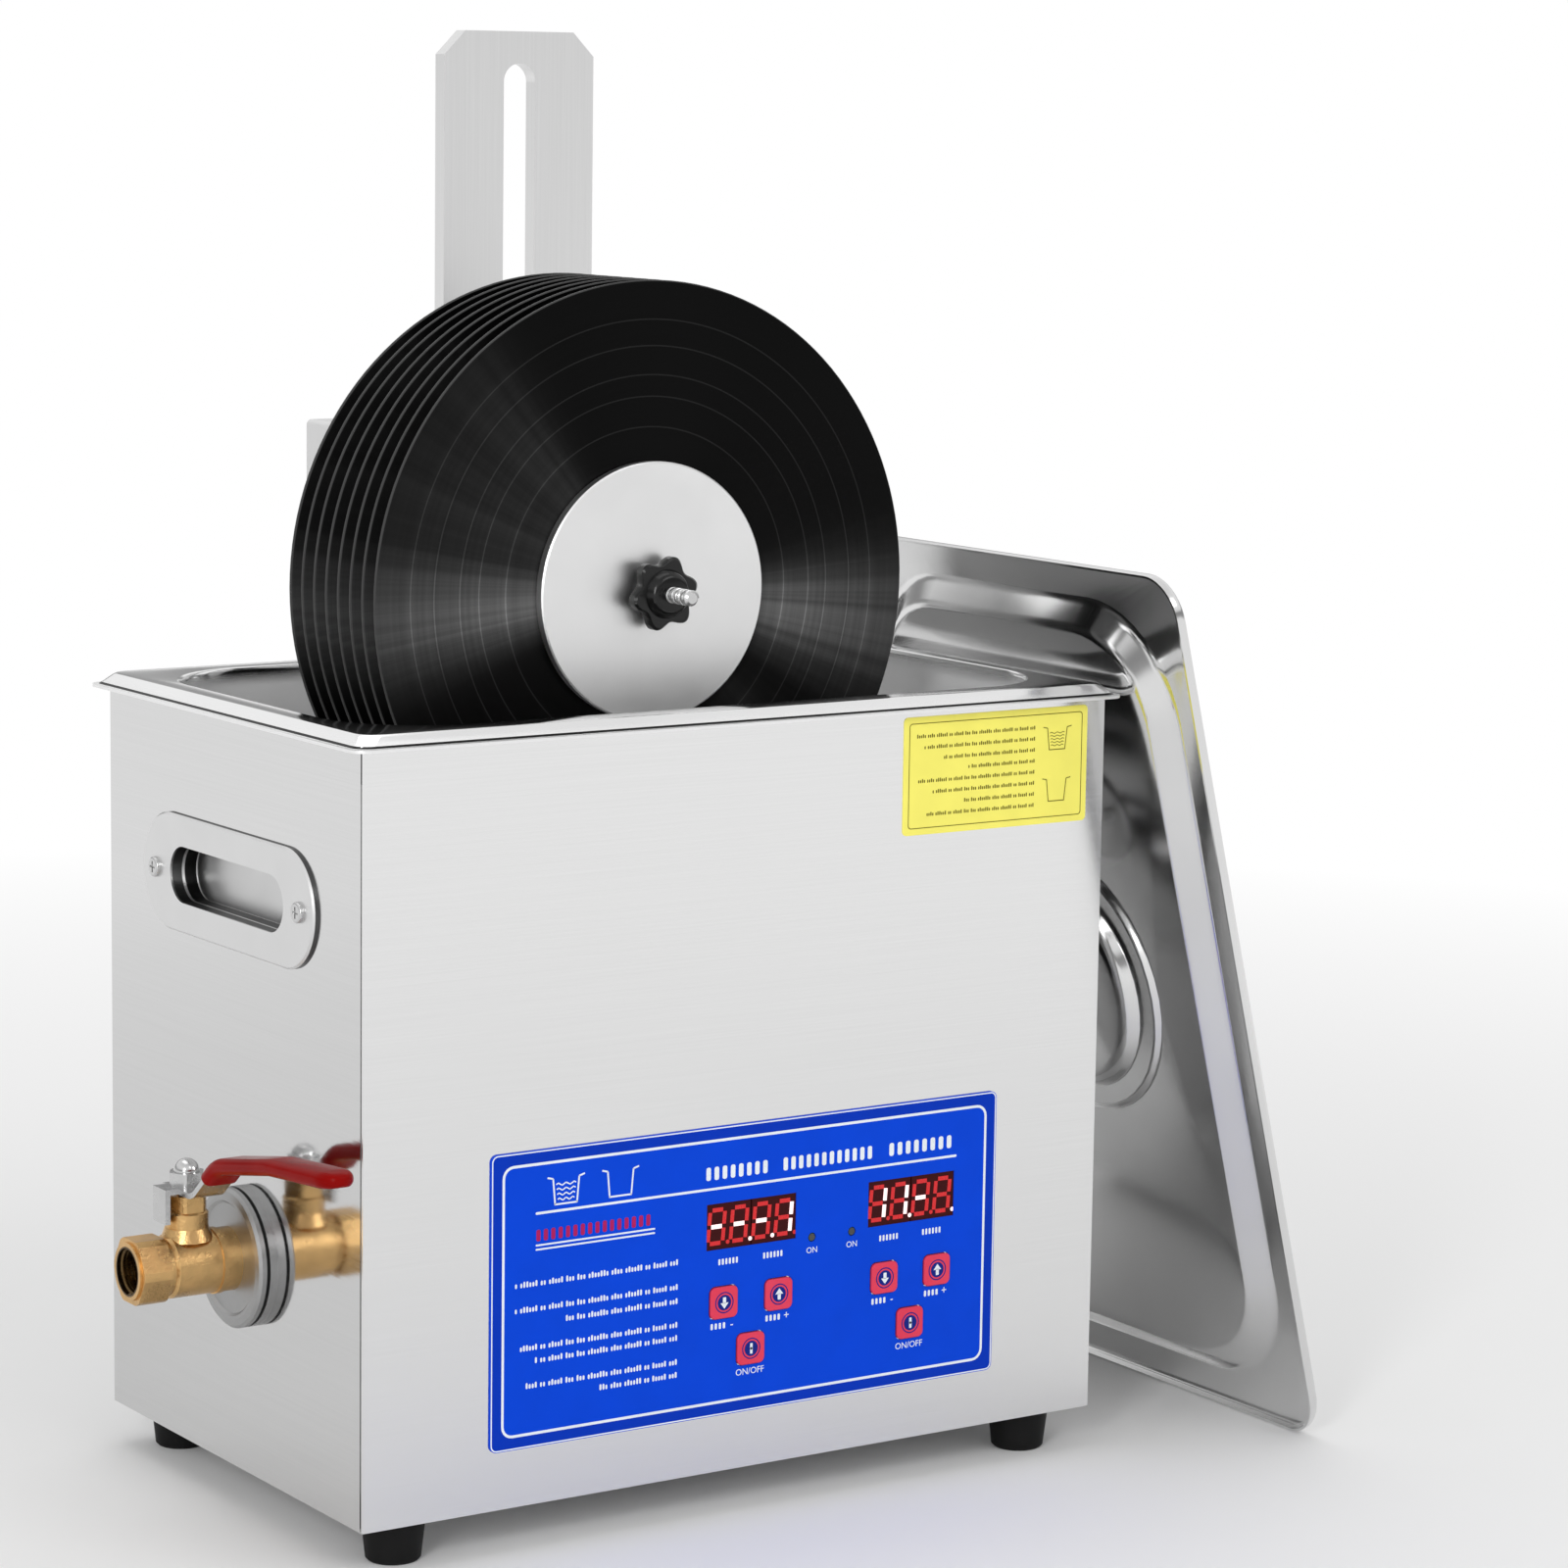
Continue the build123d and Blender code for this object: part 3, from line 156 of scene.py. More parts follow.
# ---- the clamp knob, in mm: distance behind its front, radius, depth of the lobes
KNOB_ROWS = (
    (13.9, 8.5, 0.0), (10.2, 8.5, 0.0), (10.1, 12.4, 1.3), (9.3, 13.6, 1.7), (5.4, 13.6, 1.7),
    (4.4, 12.7, 1.5), (4.3, 10.0, 0.0), (1.4, 8.8, 0.0), (0.3, 7.6, 0.0), (0.0, 6.6, 0.0),
)
KNOB_LOBES = 6
KNOB_TURN = 12.0
KNOB_POINTS = 96

# ---- print on the control panel, in mm from the panel's middle
INK_T = 0.05
PANEL_EDGE_GAP = 0.3
PANEL_EDGE_LINE = 0.5
PANEL_EDGE_R = 2.7
PANEL_BORDER_INSET = 5.0
PANEL_BORDER_W = 1.1
PANEL_BORDER_R = 5.0
RULE_Z = 34.3
RULE_HALF = 101.0
RULE_T = 1.0
TITLE_Z = 40.6
TITLE_H = 5.4
TITLE_WORDS = ((-22, 9), (15, 60), (67, 100))
HEADING_Z = 25.4
HEADING_H = 4.6
HEADING = (-100.6, -46.7)
HEADING_RULES = (-100.9, -45.9)
HEADING_RULES_DOWN = (-3.9, -5.6)
HEADING_RULE_T = 0.7
TEXT_H = 1.9
TEXT_RIGHT = -35.0
# the height of each line of small print, and its left end
TEXT_LINES = {
    6.2: -110.7, -3.9: -111.0, -9.7: -89.0, -19.4: -110.0, -24.8: -102.0, -34.7: -106.0, -40.0: -72.0,
}
# print shown as upright dashes: pitch, width and rise of a tall one as shares of the height, the gap
# between groups in pitches, the dashes in each group, which ones are tall, the width of a heading's
# dash as a share of its pitch, and the corners of both kinds as shares of their width
DASH_PITCH = 0.72
DASH_W = 0.46
DASH_RISE = 0.3
DASH_GAP = 0.75
DASH_GROUPS = (3, 5, 2, 6, 4, 7, 3)
DASH_TALL = (1, 0, 0, 1, 0, 0, 0, 1, 0, 0, 1)
HEADING_DASH_W = 0.56
DASH_CORNER = 0.4
HEADING_DASH_CORNER = 0.35
# the corners of a printed bar as a share of its height, all but half round; and the size of plain
# lettering in heights of a capital
INK_BAR_CORNER = 0.49
LETTER_SIZE = 1.4

# ---- small baths: width at the top and at the floor, height and stroke; and the water in one:
# waves, the lowest one from the bath's middle, pitch, width, gain in width with each, stroke; the
# foot of a bath's rim stands a share of the top's width from its middle
PANEL_TUB = (17.0, 10.0, 11.0, 0.7)
PANEL_TUBS_X = (-87.2, -62.2)
PANEL_TUBS_Z = 42.4
PANEL_WATER = (4, -3.6, 2.0, 7.6, 0.5, 0.5)
PLATE_TUB = (14.5, 8.0, 9.5, 0.4)
PLATE_WATER = (5, -3.0, 1.3, 6.4, 0.3, 0.3)
TUB_RIM_FOOT = 0.35

# ---- legends by the keys, displays and indicators, in mm
LEGEND_H = 2.5
LEGEND_FROM_KEY = (-5.9, 1.9)
LEGEND_DOWN = 9.6
SIGN_FROM_KEY = (4.2, -9.5)
SIGN_H = 3.4
SWITCH_WORD_H = 2.7
DISPLAY_LEGEND_HALF = 5.0
DISPLAY_LEGEND_DOWN = 5.2
INDICATOR_WORD_Z = 3.2
INDICATOR_Z = 8.6
INDICATOR_R = 1.5
INDICATOR_FROM_MIDDLE = 9.8
INDICATOR_DEPTH = 0.5
INDICATOR_T = 0.4

# ---- digits and key marks, in mm
DIGIT_W = 7.0
DIGIT_H = 13.6
DIGIT_SLANT = 1.1
DIGIT_LEFT = 0.5
SEGMENT_W = 1.75
SEGMENT_DIM_T = 0.06
SEGMENT_LIT_T = 0.08
POINT_R = 0.9
POINT_RIGHT = 1.9
SYMBOL_RING_R = 3.9
SYMBOL_FIELD_R = 3.2
SYMBOL_RING_W = 0.5
ARROW_HEAD = ((-1.9, 0.1), (1.9, 0.1), (0.0, 2.5))
ARROW_STEM_HALF_W = 0.75
ARROW_STEM_ENDS = (-2.2, 0.3)
ARROW_STEM_CORNER = 0.2
SWITCH_MARK_HALF_W = 0.6
SWITCH_MARK_HALF_H = 2.2
SWITCH_MARK_CORNER = 0.3
SWITCH_MARK_DOT = 1.1

# ---- yellow plate on the front, in mm; its dark line's two edges are insets with their radii
PLATE_X0 = 73.0
PLATE_X1 = 166.0
PLATE_Z0 = 271.0
PLATE_Z1 = 319.5
PLATE_T = 0.25
PLATE_CORNER = 2.0
PLATE_LINE = ((2.6, 1.5), (2.95, 1.2))
PLATE_INDENTS = (0, 4, 14, 26, 1, 8, 24, 5)
PLATE_TEXT_LEFT = 6.0
PLATE_TEXT_RIGHT = 27.0
PLATE_TEXT_TOP = 8.2
PLATE_TEXT_PITCH = 4.6
PLATE_TEXT_H = 1.3
PLATE_TUBS_RIGHT = 15.5
PLATE_TUBS_Z = (306.5, 285.0)

# ---- screws, threads and the fan's guard, in mm; a screw's dome is flattened, and its two slots are
# given in radii of its head: their sizes and how far up their middle is
SCREW_FLATTEN = 0.55
SCREW_SLOTS = ((1.0, 0.2, 0.7), (0.2, 1.0, 0.7))
SCREW_SLOTS_UP = 0.62
REAR_SCREW_R = 3.1
REAR_SCREW_INSET = 12.0
REAR_SCREW_TOP = 30.0
BOX_SCREW_R = 2.6
BOX_SCREW_INSET = 8.0
BOX_BACK_T = 2.0
GUARD_R = 28.5
GUARD_WIRE_R = 0.8
GUARD_RINGS = 6
# crest, radius, turns and length of each thread, and how far in from its stud's end or mouth it starts
CLAMP_THREAD = (0.35, 2.95, 15.0, 14.6)
CLAMP_THREAD_FROM = 15.1
OUTLET_THREAD = (0.7, 9.3, 6.0, 10.5)
OUTLET_THREAD_FROM = 1.0
HEIGHT_THREAD = (0.35, 4.0, 1.0, 0.9)
HEIGHT_THREAD_FROM = 1.2


# ---- colours

def srgb(red, green, blue):
    """A screen colour, 0 to 255, as the linear colour that shaders take."""
    def channel(value):
        value /= 255
        return value / 12.92 if value <= 0.04045 else ((value + 0.055) / 1.055) ** 2.4
    return (channel(red), channel(green), channel(blue), 1.0)


def grey(level):
    return srgb(level, level, level)


def shade(colour, share):
    """A darker colour: a share of each of its channels."""
    return tuple(channel * share for channel in colour[:3]) + (1.0,)


PANEL_BLUE = srgb(0, 70, 218)
PANEL_BLUE_DARK = srgb(0, 54, 186)
INK_WHITE = srgb(238, 244, 250)
INK_RED = srgb(176, 34, 96)
INK_OLIVE = srgb(112, 106, 34)
KEY_RED = srgb(226, 54, 82)
KEY_BLUE = srgb(24, 40, 130)
YELLOW = srgb(255, 246, 118)
SEGMENT_DIM = srgb(196, 14, 22)
SEGMENT_LIT = srgb(255, 214, 214)
SEGMENT_DIM_GLOW = 0.25
SEGMENT_LIT_GLOW = 0.9


# ---- node helpers

class Nodes:
    """A node tree, with short ways to add nodes and join them."""

    def __init__(self, tree):
        self.tree = tree

    def fill(self, node, inputs):
        """Sets a node's inputs, each to a value or to the socket that feeds it."""
        for key, value in inputs.items():
            if isinstance(value, bpy.types.NodeSocket):
                self.tree.links.new(value, node.inputs[key])
            else:
                node.inputs[key].default_value = value
        return node

    def node(self, kind, inputs=None, **settings):
        made = self.tree.nodes.new(kind)
        for key, value in settings.items():
            setattr(made, key, value)
        return self.fill(made, inputs or {})

    def socket(self, kind, inputs=None, **settings):
        """The first output of a new node."""
        return self.node(kind, inputs, **settings).outputs[0]

    def math(self, operation, *values):
        return self.socket("ShaderNodeMath", dict(enumerate(values)), operation=operation)

    def vector(self, **parts):
        return self.socket("ShaderNodeCombineXYZ", parts)

    def axes(self, vector):
        """The three parts of a vector."""
        parts = self.node("ShaderNodeSeparateXYZ", {"Vector": vector}).outputs
        return parts["X"], parts["Y"], parts["Z"]


class Shading(Nodes):
    """A material, with its patterns on Object coordinates."""

    def __init__(self, name):
        self.material = bpy.data.materials.new(name)
        self.material.use_nodes = True
        super().__init__(self.material.node_tree)
        self.shader = self.tree.nodes["Principled BSDF"]

    def set(self, **sockets):
        """Sets the shader's inputs; an underscore stands for the space in a name."""
        self.fill(self.shader, {key.replace("_", " "): value for key, value in sockets.items()})
        return self

    def place(self, scale=(1, 1, 1), centre=(0, 0, 0)):
        """Object coordinates, centred on a point and stretched."""
        coords = self.node("ShaderNodeTexCoord").outputs["Object"]
        shift = [-c * s for c, s in zip(centre, scale)]
        return self.socket("ShaderNodeMapping", {"Vector": coords, "Location": shift, "Scale": scale})

    def noise(self, scale, detail=2.0, roughness=0.5, vector=None):
        return self.socket("ShaderNodeTexNoise", {
            "Vector": self.place() if vector is None else vector,
            "Scale": scale, "Detail": detail, "Roughness": roughness,
        })

    def remap(self, value, low, high, from_low=0.3, from_high=0.7):
        return self.socket("ShaderNodeMapRange", {
            "Value": value, "From Min": from_low, "From Max": from_high, "To Min": low, "To Max": high,
        })

    def tint(self, factor, first, second):
        """A mix of two colours, which are inputs 6 and 7 of the node and its output 2."""
        return self.node("ShaderNodeMix", {0: factor, 6: first, 7: second}, data_type="RGBA").outputs[2]

    def mottled(self, factor, colour, share):
        """A colour that falls to a share of itself where the factor is low."""
        return self.tint(self.remap(factor, 0.0, 1.0), shade(colour, share), colour)

    def uneven(self, factor, low, high, roughness):
        """A roughness with the factor's small changes added."""
        return self.math("ADD", self.remap(factor, low, high), roughness)

    def length(self, first, second):
        """Distance from an axis, from the two parts across it."""
        squares = [self.math("MULTIPLY", part, part) for part in (first, second)]
        return self.math("SQRT", self.math("ADD", *squares))

    def bump(self, height, strength, distance):
        return self.set(Normal=self.socket("ShaderNodeBump", {
            "Height": height, "Strength": strength, "Distance": distance,
        }))


# ---- finishes

def brushed_metal(name, colour, roughness, stretch, spread=0.06, grain=0.1):
    """Metal with long fine scratches; stretch is low along the scratches and high across."""
    s = Shading(name).set(Metallic=1.0, Roughness=roughness)
    scratches = s.noise(1.0, 3.0, 0.7, s.place(stretch))
    wear = s.math("ADD", s.remap(scratches, -spread, spread), s.remap(s.noise(9.0), 0, spread))
    s.set(Base_Color=s.mottled(scratches, colour, 1 - grain), Roughness=s.math("ADD", wear, roughness))
    return s.bump(scratches, 0.12, 0.00006).material


def polished_metal(name, colour, roughness, cloud_scale=14.0):
    """Pressed and polished sheet: near mirror, with faint smears and ripples."""
    s = Shading(name).set(Metallic=1.0, Roughness=roughness)
    clouds = s.noise(cloud_scale, 3.0)
    s.set(Base_Color=s.mottled(clouds, colour, 0.92))
    s.set(Roughness=s.remap(clouds, roughness * 0.7, roughness * 1.4))
    return s.bump(s.noise(7.0, 1.0), 0.25, 0.0006).material


def drawn_metal(name, colour, bright, satin, level, fold):
    """A drawn tank: its rim polished bright, its well below the level left satin, and a painted shade line
    in the fold round the foot of the rim, given as its distances from the middle and its height."""
    s = Shading(name)
    x, y, z = s.axes(s.place())
    clouds = s.noise(14.0, 3.0)
    # painted shade: a dark line in the fold round the foot of the rim
    past = [s.math("SUBTRACT", s.math("ABSOLUTE", part), edge) for part, edge in zip((x, y), fold)]
    outside = s.math("GREATER_THAN", s.math("MAXIMUM", *past), 0.0)
    line = s.math("MULTIPLY", outside, s.math("COMPARE", z, fold[2], 0.0004))
    s.set(Base_Color=s.tint(line, s.mottled(clouds, colour, 0.95), grey(22)))
    below = level - 0.006
    s.set(Metallic=s.remap(z, 0.35, 1.0, below, level))
    s.set(Roughness=s.math("ADD", s.remap(z, satin, bright, below, level), s.remap(clouds, -0.03, 0.03)))
    return s.bump(s.noise(7.0, 1.0), 0.1, 0.0004).material


def pull_metal(name, roughness, bands):
    """Satin die casting, banded by the distance from the machine's middle: in mm, and how light; the bands
    paint shade in the cup and a highlight on its ledge.
    """
    s = Shading(name).set(Metallic=1.0)
    x, _, _ = s.axes(s.place())
    start, end = bands[0][0], bands[-1][0]
    along = s.remap(s.math("ABSOLUTE", x), 0.0, 1.0, start * MM, end * MM)
    # painted shade in the cup's walls and collar and a painted highlight on its ledge, as bands of colour
    ramp = s.node("ShaderNodeValToRGB", {0: along})
    stops = ramp.color_ramp.elements
    stops[0].color, stops[1].color = grey(bands[0][1]), grey(bands[-1][1])
    for place, level in bands[1:-1]:
        stops.new((place - start) / (end - start)).color = grey(level)
    s.set(Base_Color=ramp.outputs["Color"])
    s.set(Roughness=s.uneven(s.noise(60.0, 3.0), -0.03, 0.03, roughness))
    return s.bump(s.noise(1500.0), 0.1, 0.00004).material


def turned_metal(name, colour, roughness, centre, pitch=1400.0):
    """Metal faced in a lathe: fine rings about an axis along Y."""
    s = Shading(name).set(Metallic=1.0, Roughness=roughness)
    rings = s.node("ShaderNodeTexWave", {
        "Vector": s.place(centre=centre), "Scale": pitch, "Distortion": 0.6, "Detail": 1.0,
    }, wave_type="RINGS", rings_direction="Y").outputs["Fac"]
    clouds = s.noise(30.0)
    s.set(Base_Color=s.mottled(clouds, colour, 0.93))
    s.set(Roughness=s.uneven(clouds, -0.04, 0.04, roughness))
    return s.bump(rings, 0.05, 0.00005).material


def cast_metal(name, colour, roughness, centre, bore):
    """Sand cast brass, dull and dark inside its bore along X."""
    s = Shading(name).set(Metallic=1.0)
    patches = s.noise(70.0, 3.0)
    _, y, z = s.axes(s.place(centre=centre))
    inside = s.math("LESS_THAN", s.length(y, z), bore)
    s.set(Base_Color=s.tint(inside, s.mottled(patches, colour, 0.62), shade(colour, 0.16)))
    s.set(Roughness=s.uneven(patches, -0.08, 0.1, roughness))
    return s.bump(s.noise(800.0, 4.0, 0.6), 0.5, 0.0004).material


def moulded(name, colour, roughness, grain=1800.0, depth=0.00004, coat=0.0, gloss=0.3):
    """Moulded plastic or rubber: a fine even grain and slight changes of tone."""
    s = Shading(name).set(Roughness=roughness, Coat_Weight=coat, Specular_IOR_Level=gloss)
    patches = s.noise(45.0)
    lighter = tuple(c * (1 + 0.25 * (1 - c) ** 2) + 0.002 * (1 - c) for c in colour[:3]) + (1.0,)
    s.set(Base_Color=s.tint(s.remap(patches, 0.0, 1.0), colour, lighter))
    s.set(Roughness=s.uneven(patches, -0.05, 0.05, roughness))
    return s.bump(s.noise(grain), 0.3, depth).material


def printed(name, colour, roughness=0.32):
    """Ink or film: flat colour with the slight unevenness of screen printing."""
    s = Shading(name).set(Roughness=roughness, Specular_IOR_Level=0.08)
    s.set(Base_Color=s.mottled(s.noise(60.0), colour, 0.94))
    return s.bump(s.noise(900.0, 1.0), 0.08, 0.00003).material


def glowing(name, colour, strength):
    """A lit or dim segment behind its smooth window."""
    s = Shading(name).set(Roughness=0.3, Base_Color=colour)
    s.set(Emission_Color=colour, Emission_Strength=strength)
    return s.set(Roughness=s.remap(s.noise(800.0, 1.0), 0.25, 0.35)).material


def grooved_vinyl(centre, edge_radius):
    """Records: fine groove rings comb the lamps' light along them; a fan-shaped sheen, thin bare rings
    between the tracks and bright edges are painted highlights in the colour.
    """
    s = Shading("vinyl").set(Specular_IOR_Level=0.06, Anisotropic=0.9)
    x, _, z = s.axes(s.place(centre=centre))
    s.set(Tangent=s.vector(X=z, Z=s.math("MULTIPLY", x, -1.0)))
    radius = s.length(x, z)
    outward = s.vector(X=radius)
    bands = s.noise(170.0, 3.0, 0.65, outward)
    gaps = 0.0
    for gap in TRACK_GAPS:
        gaps = s.math("MAXIMUM", s.math("COMPARE", radius, gap, TRACK_GAP), gaps)
    heading = s.socket("ShaderNodeVectorMath", {0: s.vector(X=x, Z=z)}, operation="NORMALIZE")
    # painted highlights: a fan-shaped sheen for each direction listed, painted into the colour
    painted_fans = 0.0
    for degrees, narrow, level in VINYL_PAINTED_FANS:
        turn = math.radians(degrees)
        toward = {0: heading, 1: (math.cos(turn), 0.0, math.sin(turn))}
        facing = s.node("ShaderNodeVectorMath", toward, operation="DOT_PRODUCT").outputs["Value"]
        beam = s.math("POWER", s.math("MAXIMUM", facing, 0.0), narrow)
        painted_fans = s.math("ADD", s.math("MULTIPLY", beam, level), painted_fans)
    painted_fans = s.math("MULTIPLY", painted_fans, s.remap(radius, 1.0, 0.45, edge_radius * 0.42, edge_radius))
    streaks = s.noise(16.0, 4.0, 0.6, heading)
    painted_fans = s.math("MULTIPLY", painted_fans, s.remap(streaks, 0.6, 1.0, 0.35, 0.62))
    groove_highlight = s.math("MULTIPLY", painted_fans, s.remap(bands, 0.6, 1.0))
    # the bare rings between the tracks painted as thin highlight lines, brighter within the painted sheen
    bare = s.math("ADD", s.math("MULTIPLY", painted_fans, 0.5), 0.035)
    painted_shine = s.math("ADD", groove_highlight, s.math("MULTIPLY", gaps, bare))
    # a painted highlight round each record's edge
    rim = s.remap(radius, 0.0, 0.16, edge_radius - 0.0006, edge_radius - 0.0003)
    s.set(Base_Color=s.tint(s.math("MAXIMUM", painted_shine, rim), grey(5), grey(158)))
    s.set(Roughness=s.remap(bands, 0.26, 0.42))
    return s.bump(s.noise(2600.0, 1.0, vector=outward), 0.12, 0.00006).material


# ---- mesh helpers

def link_object(name, data):
    """A new object in the scene that holds the data."""
    made = bpy.data.objects.new(name, data)
    bpy.context.scene.collection.objects.link(made)
    return made


def add_piece(name, mesh, body, smooth):
    """A mesh as a piece of the object, riding on a body."""
    for polygon in mesh.polygons:
        polygon.use_smooth = smooth
    piece = link_object(name, mesh)
    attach(piece, body)
    return piece


def finish_piece(name, builder, material, body, smooth=True):
    """Turns a bmesh into a piece of the object; smooth keeps the sharp edges."""
    mesh = bpy.data.meshes.new(name)
    bmesh.ops.recalc_face_normals(builder, faces=builder.faces)
    builder.to_mesh(mesh)
    builder.free()
    mesh.materials.append(material)
    piece = add_piece(name, mesh, body, smooth)
    if smooth:
        mesh.set_sharp_from_angle(angle=SHARP_ANGLE)
    return piece


def rounded_outline(x0, z0, x1, z1, radius, steps=5):
    """Points round a rectangle with round corners, anticlockwise."""
    points = []
    corners = ((x1, z0, -90), (x1, z1, 0), (x0, z1, 90), (x0, z0, 180))
    for corner_x, corner_z, start in corners:
        centre_x = corner_x - math.copysign(radius, corner_x - (x0 + x1) / 2)
        centre_z = corner_z - math.copysign(radius, corner_z - (z0 + z1) / 2)
        for step in range(steps + 1):
            angle = math.radians(start + 90 * step / steps)
            points.append((centre_x + radius * math.cos(angle), centre_z + radius * math.sin(angle)))
    return points


def round_outline(x, z, radius, steps=32):
    turn = 2 * math.pi / steps
    return [(x + radius * math.cos(turn * n), z + radius * math.sin(turn * n)) for n in range(steps)]


def bent(stations, cuts, steps=6):
    """A section with each of its corners rounded; a cut is how far before the corner it starts."""
    section = [stations[0]]
    for before, at, after, cut in zip(stations, stations[1:], stations[2:], cuts):
        ends = []
        for other in (before, after):
            run = max(abs(a - b) for a, b in zip(at, other))
            share = min(0.5, cut / run)
            ends.append([a + (b - a) * share for a, b in zip(at, other)])
        for step in range(steps + 1):
            s = step / steps
            section.append([
                (1 - s) ** 2 * a + 2 * s * (1 - s) * b + s * s * c for a, b, c in zip(ends[0], at, ends[1])
            ])
    return section + [stations[-1]]


def loop(half_w, half_l, corner, level, x=0.0, y=0.0):
    """One station of a pressing: a round-cornered rectangle at a level."""
    return (half_w, half_l, corner, level, x, y)


def round_loop(radius, level, x=0.0, y=0.0):
    return loop(radius, radius, radius, level, x, y)


def join_rows(mesh, rows):
    """The faces between closed rows of vertices that follow each other."""
    for first, second in zip(rows, rows[1:]):
        for n, vertex in enumerate(first):
            after = (n + 1) % len(first)
            mesh.faces.new((vertex, first[after], second[after], second[n]))


def capped(rows):
    """A closed body through rows of points."""
    body = bmesh.new()
    rings = [[body.verts.new(point) for point in row] for row in rows]
    join_rows(body, rings)
    body.faces.new(rings[0])
    body.faces.new(rings[-1][::-1])
    return body


def pressed_sheet(stations, thickness, place, filled):
    """Sheet metal pressed to a section of loops that lie one inside the other."""
    sheet = bmesh.new()
    rows = []
    for half_w, half_l, corner, level, x, y in stations:
        outline = rounded_outline(x - half_w, y - half_l, x + half_w, y + half_l, corner, 10)
        rows.append([sheet.verts.new(place @ (Vector((u, v, level)) * MM)) for u, v in outline])
    join_rows(sheet, rows)
    if filled:
        sheet.faces.new(rows[-1])
    bmesh.ops.remove_doubles(sheet, verts=sheet.verts, dist=0.001 * MM)
    bmesh.ops.solidify(sheet, geom=sheet.faces[:], thickness=thickness * MM)
    return sheet


def along(path):
    """Each point of a path in a plane, with the direction square to the path there."""
    points = [Vector(point) for point in path]
    for before, at, after in zip([points[0]] + points, points, points[1:] + [points[-1]]):
        run = (after - before).normalized()
        yield at, Vector((-run.y, run.x))


def bent_bar(path, width, thickness, place):
    """A flat bar bent along a path of (along, level) points."""
    rows = []
    for at, side in along(path):
        corners = [(-width / 2, 1), (width / 2, 1), (width / 2, -1), (-width / 2, -1)]
        rows.append([
            place @ (Vector((x, *(at + side * sign * thickness / 2))) * MM) for x, sign in corners
        ])
    bar = capped(rows)
    bmesh.ops.recalc_face_normals(bar, faces=bar.faces)
    square = [edge for edge in bar.edges if edge.calc_face_angle() > SQUARE_ANGLE]
    bmesh.ops.bevel(bar, geom=square, offset=BAR_EDGE * MM, segments=2, affect="EDGES")
    return bar


class Print:
    """Flat shapes laid on a face that looks to the front; x and z in mm from an origin."""

    def __init__(self, origin_x, face_y, origin_z, thickness=INK_T):
        self.origin = (origin_x, face_y, origin_z)
        self.thickness = thickness
        self.mesh = bmesh.new()

    def vertices(self, points, lift):
        x0, y0, z0 = self.origin
        return [self.mesh.verts.new((x0 + x * MM, y0 - lift * MM, z0 + z * MM)) for x, z in points]

    def patch(self, points):
        """A filled outline."""
        back, front = [self.vertices(points, lift) for lift in (0, self.thickness)]
        self.mesh.faces.new(front)
        self.mesh.faces.new(back[::-1])
        join_rows(self.mesh, (back, front))

    def band(self, outer, inner):
        """The band between two outlines with the same number of points."""
        loops = [self.vertices(points, lift) for points in (outer, inner) for lift in (0, self.thickness)]
        outer_back, outer_front, inner_back, inner_front = loops
        join_rows(self.mesh, (outer_back, outer_front, inner_front, inner_back, outer_back))

    def bar(self, x0, x1, z, height):
        """A short bar with round ends."""
        corner = height * INK_BAR_CORNER
        self.patch(rounded_outline(x0, z - height / 2, x1, z + height / 2, corner, 3))

    def line(self, start, end, width):
        """A straight stroke between two points."""
        dx, dz = end[0] - start[0], end[1] - start[1]
        length = math.hypot(dx, dz)
        nx, nz = -dz / length * width / 2, dx / length * width / 2
        self.patch([
            (start[0] + nx, start[1] + nz), (start[0] - nx, start[1] - nz),
            (end[0] - nx, end[1] - nz), (end[0] + nx, end[1] + nz),
        ])

    def words(self, text, x, z, height):
        """Plain lettering, centred."""
        curve = bpy.data.curves.new("words", "FONT")
        curve.body = text
        curve.size = height * MM * LETTER_SIZE
        curve.align_x = "CENTER"
        curve.align_y = "CENTER"
        curve.extrude = self.thickness * MM / 2
        curve.resolution_u = 3
        carrier = link_object("words", curve)
        depsgraph = bpy.context.evaluated_depsgraph_get()
        mesh = bpy.data.meshes.new_from_object(carrier.evaluated_get(depsgraph))
        x0, y0, z0 = self.origin
        place = Matrix.Translation((x0 + x * MM, y0 - self.thickness * MM / 2, z0 + z * MM))
        mesh.transform(place @ Matrix.Rotation(QUARTER, 4, "X"))
        self.mesh.from_mesh(mesh)
        bpy.data.objects.remove(carrier)
        bpy.data.meshes.remove(mesh)

    def piece(self, name, material, body, slot):
        return finish_piece(name, self.mesh, material, body, smooth=False)


# ---- geometry node trees

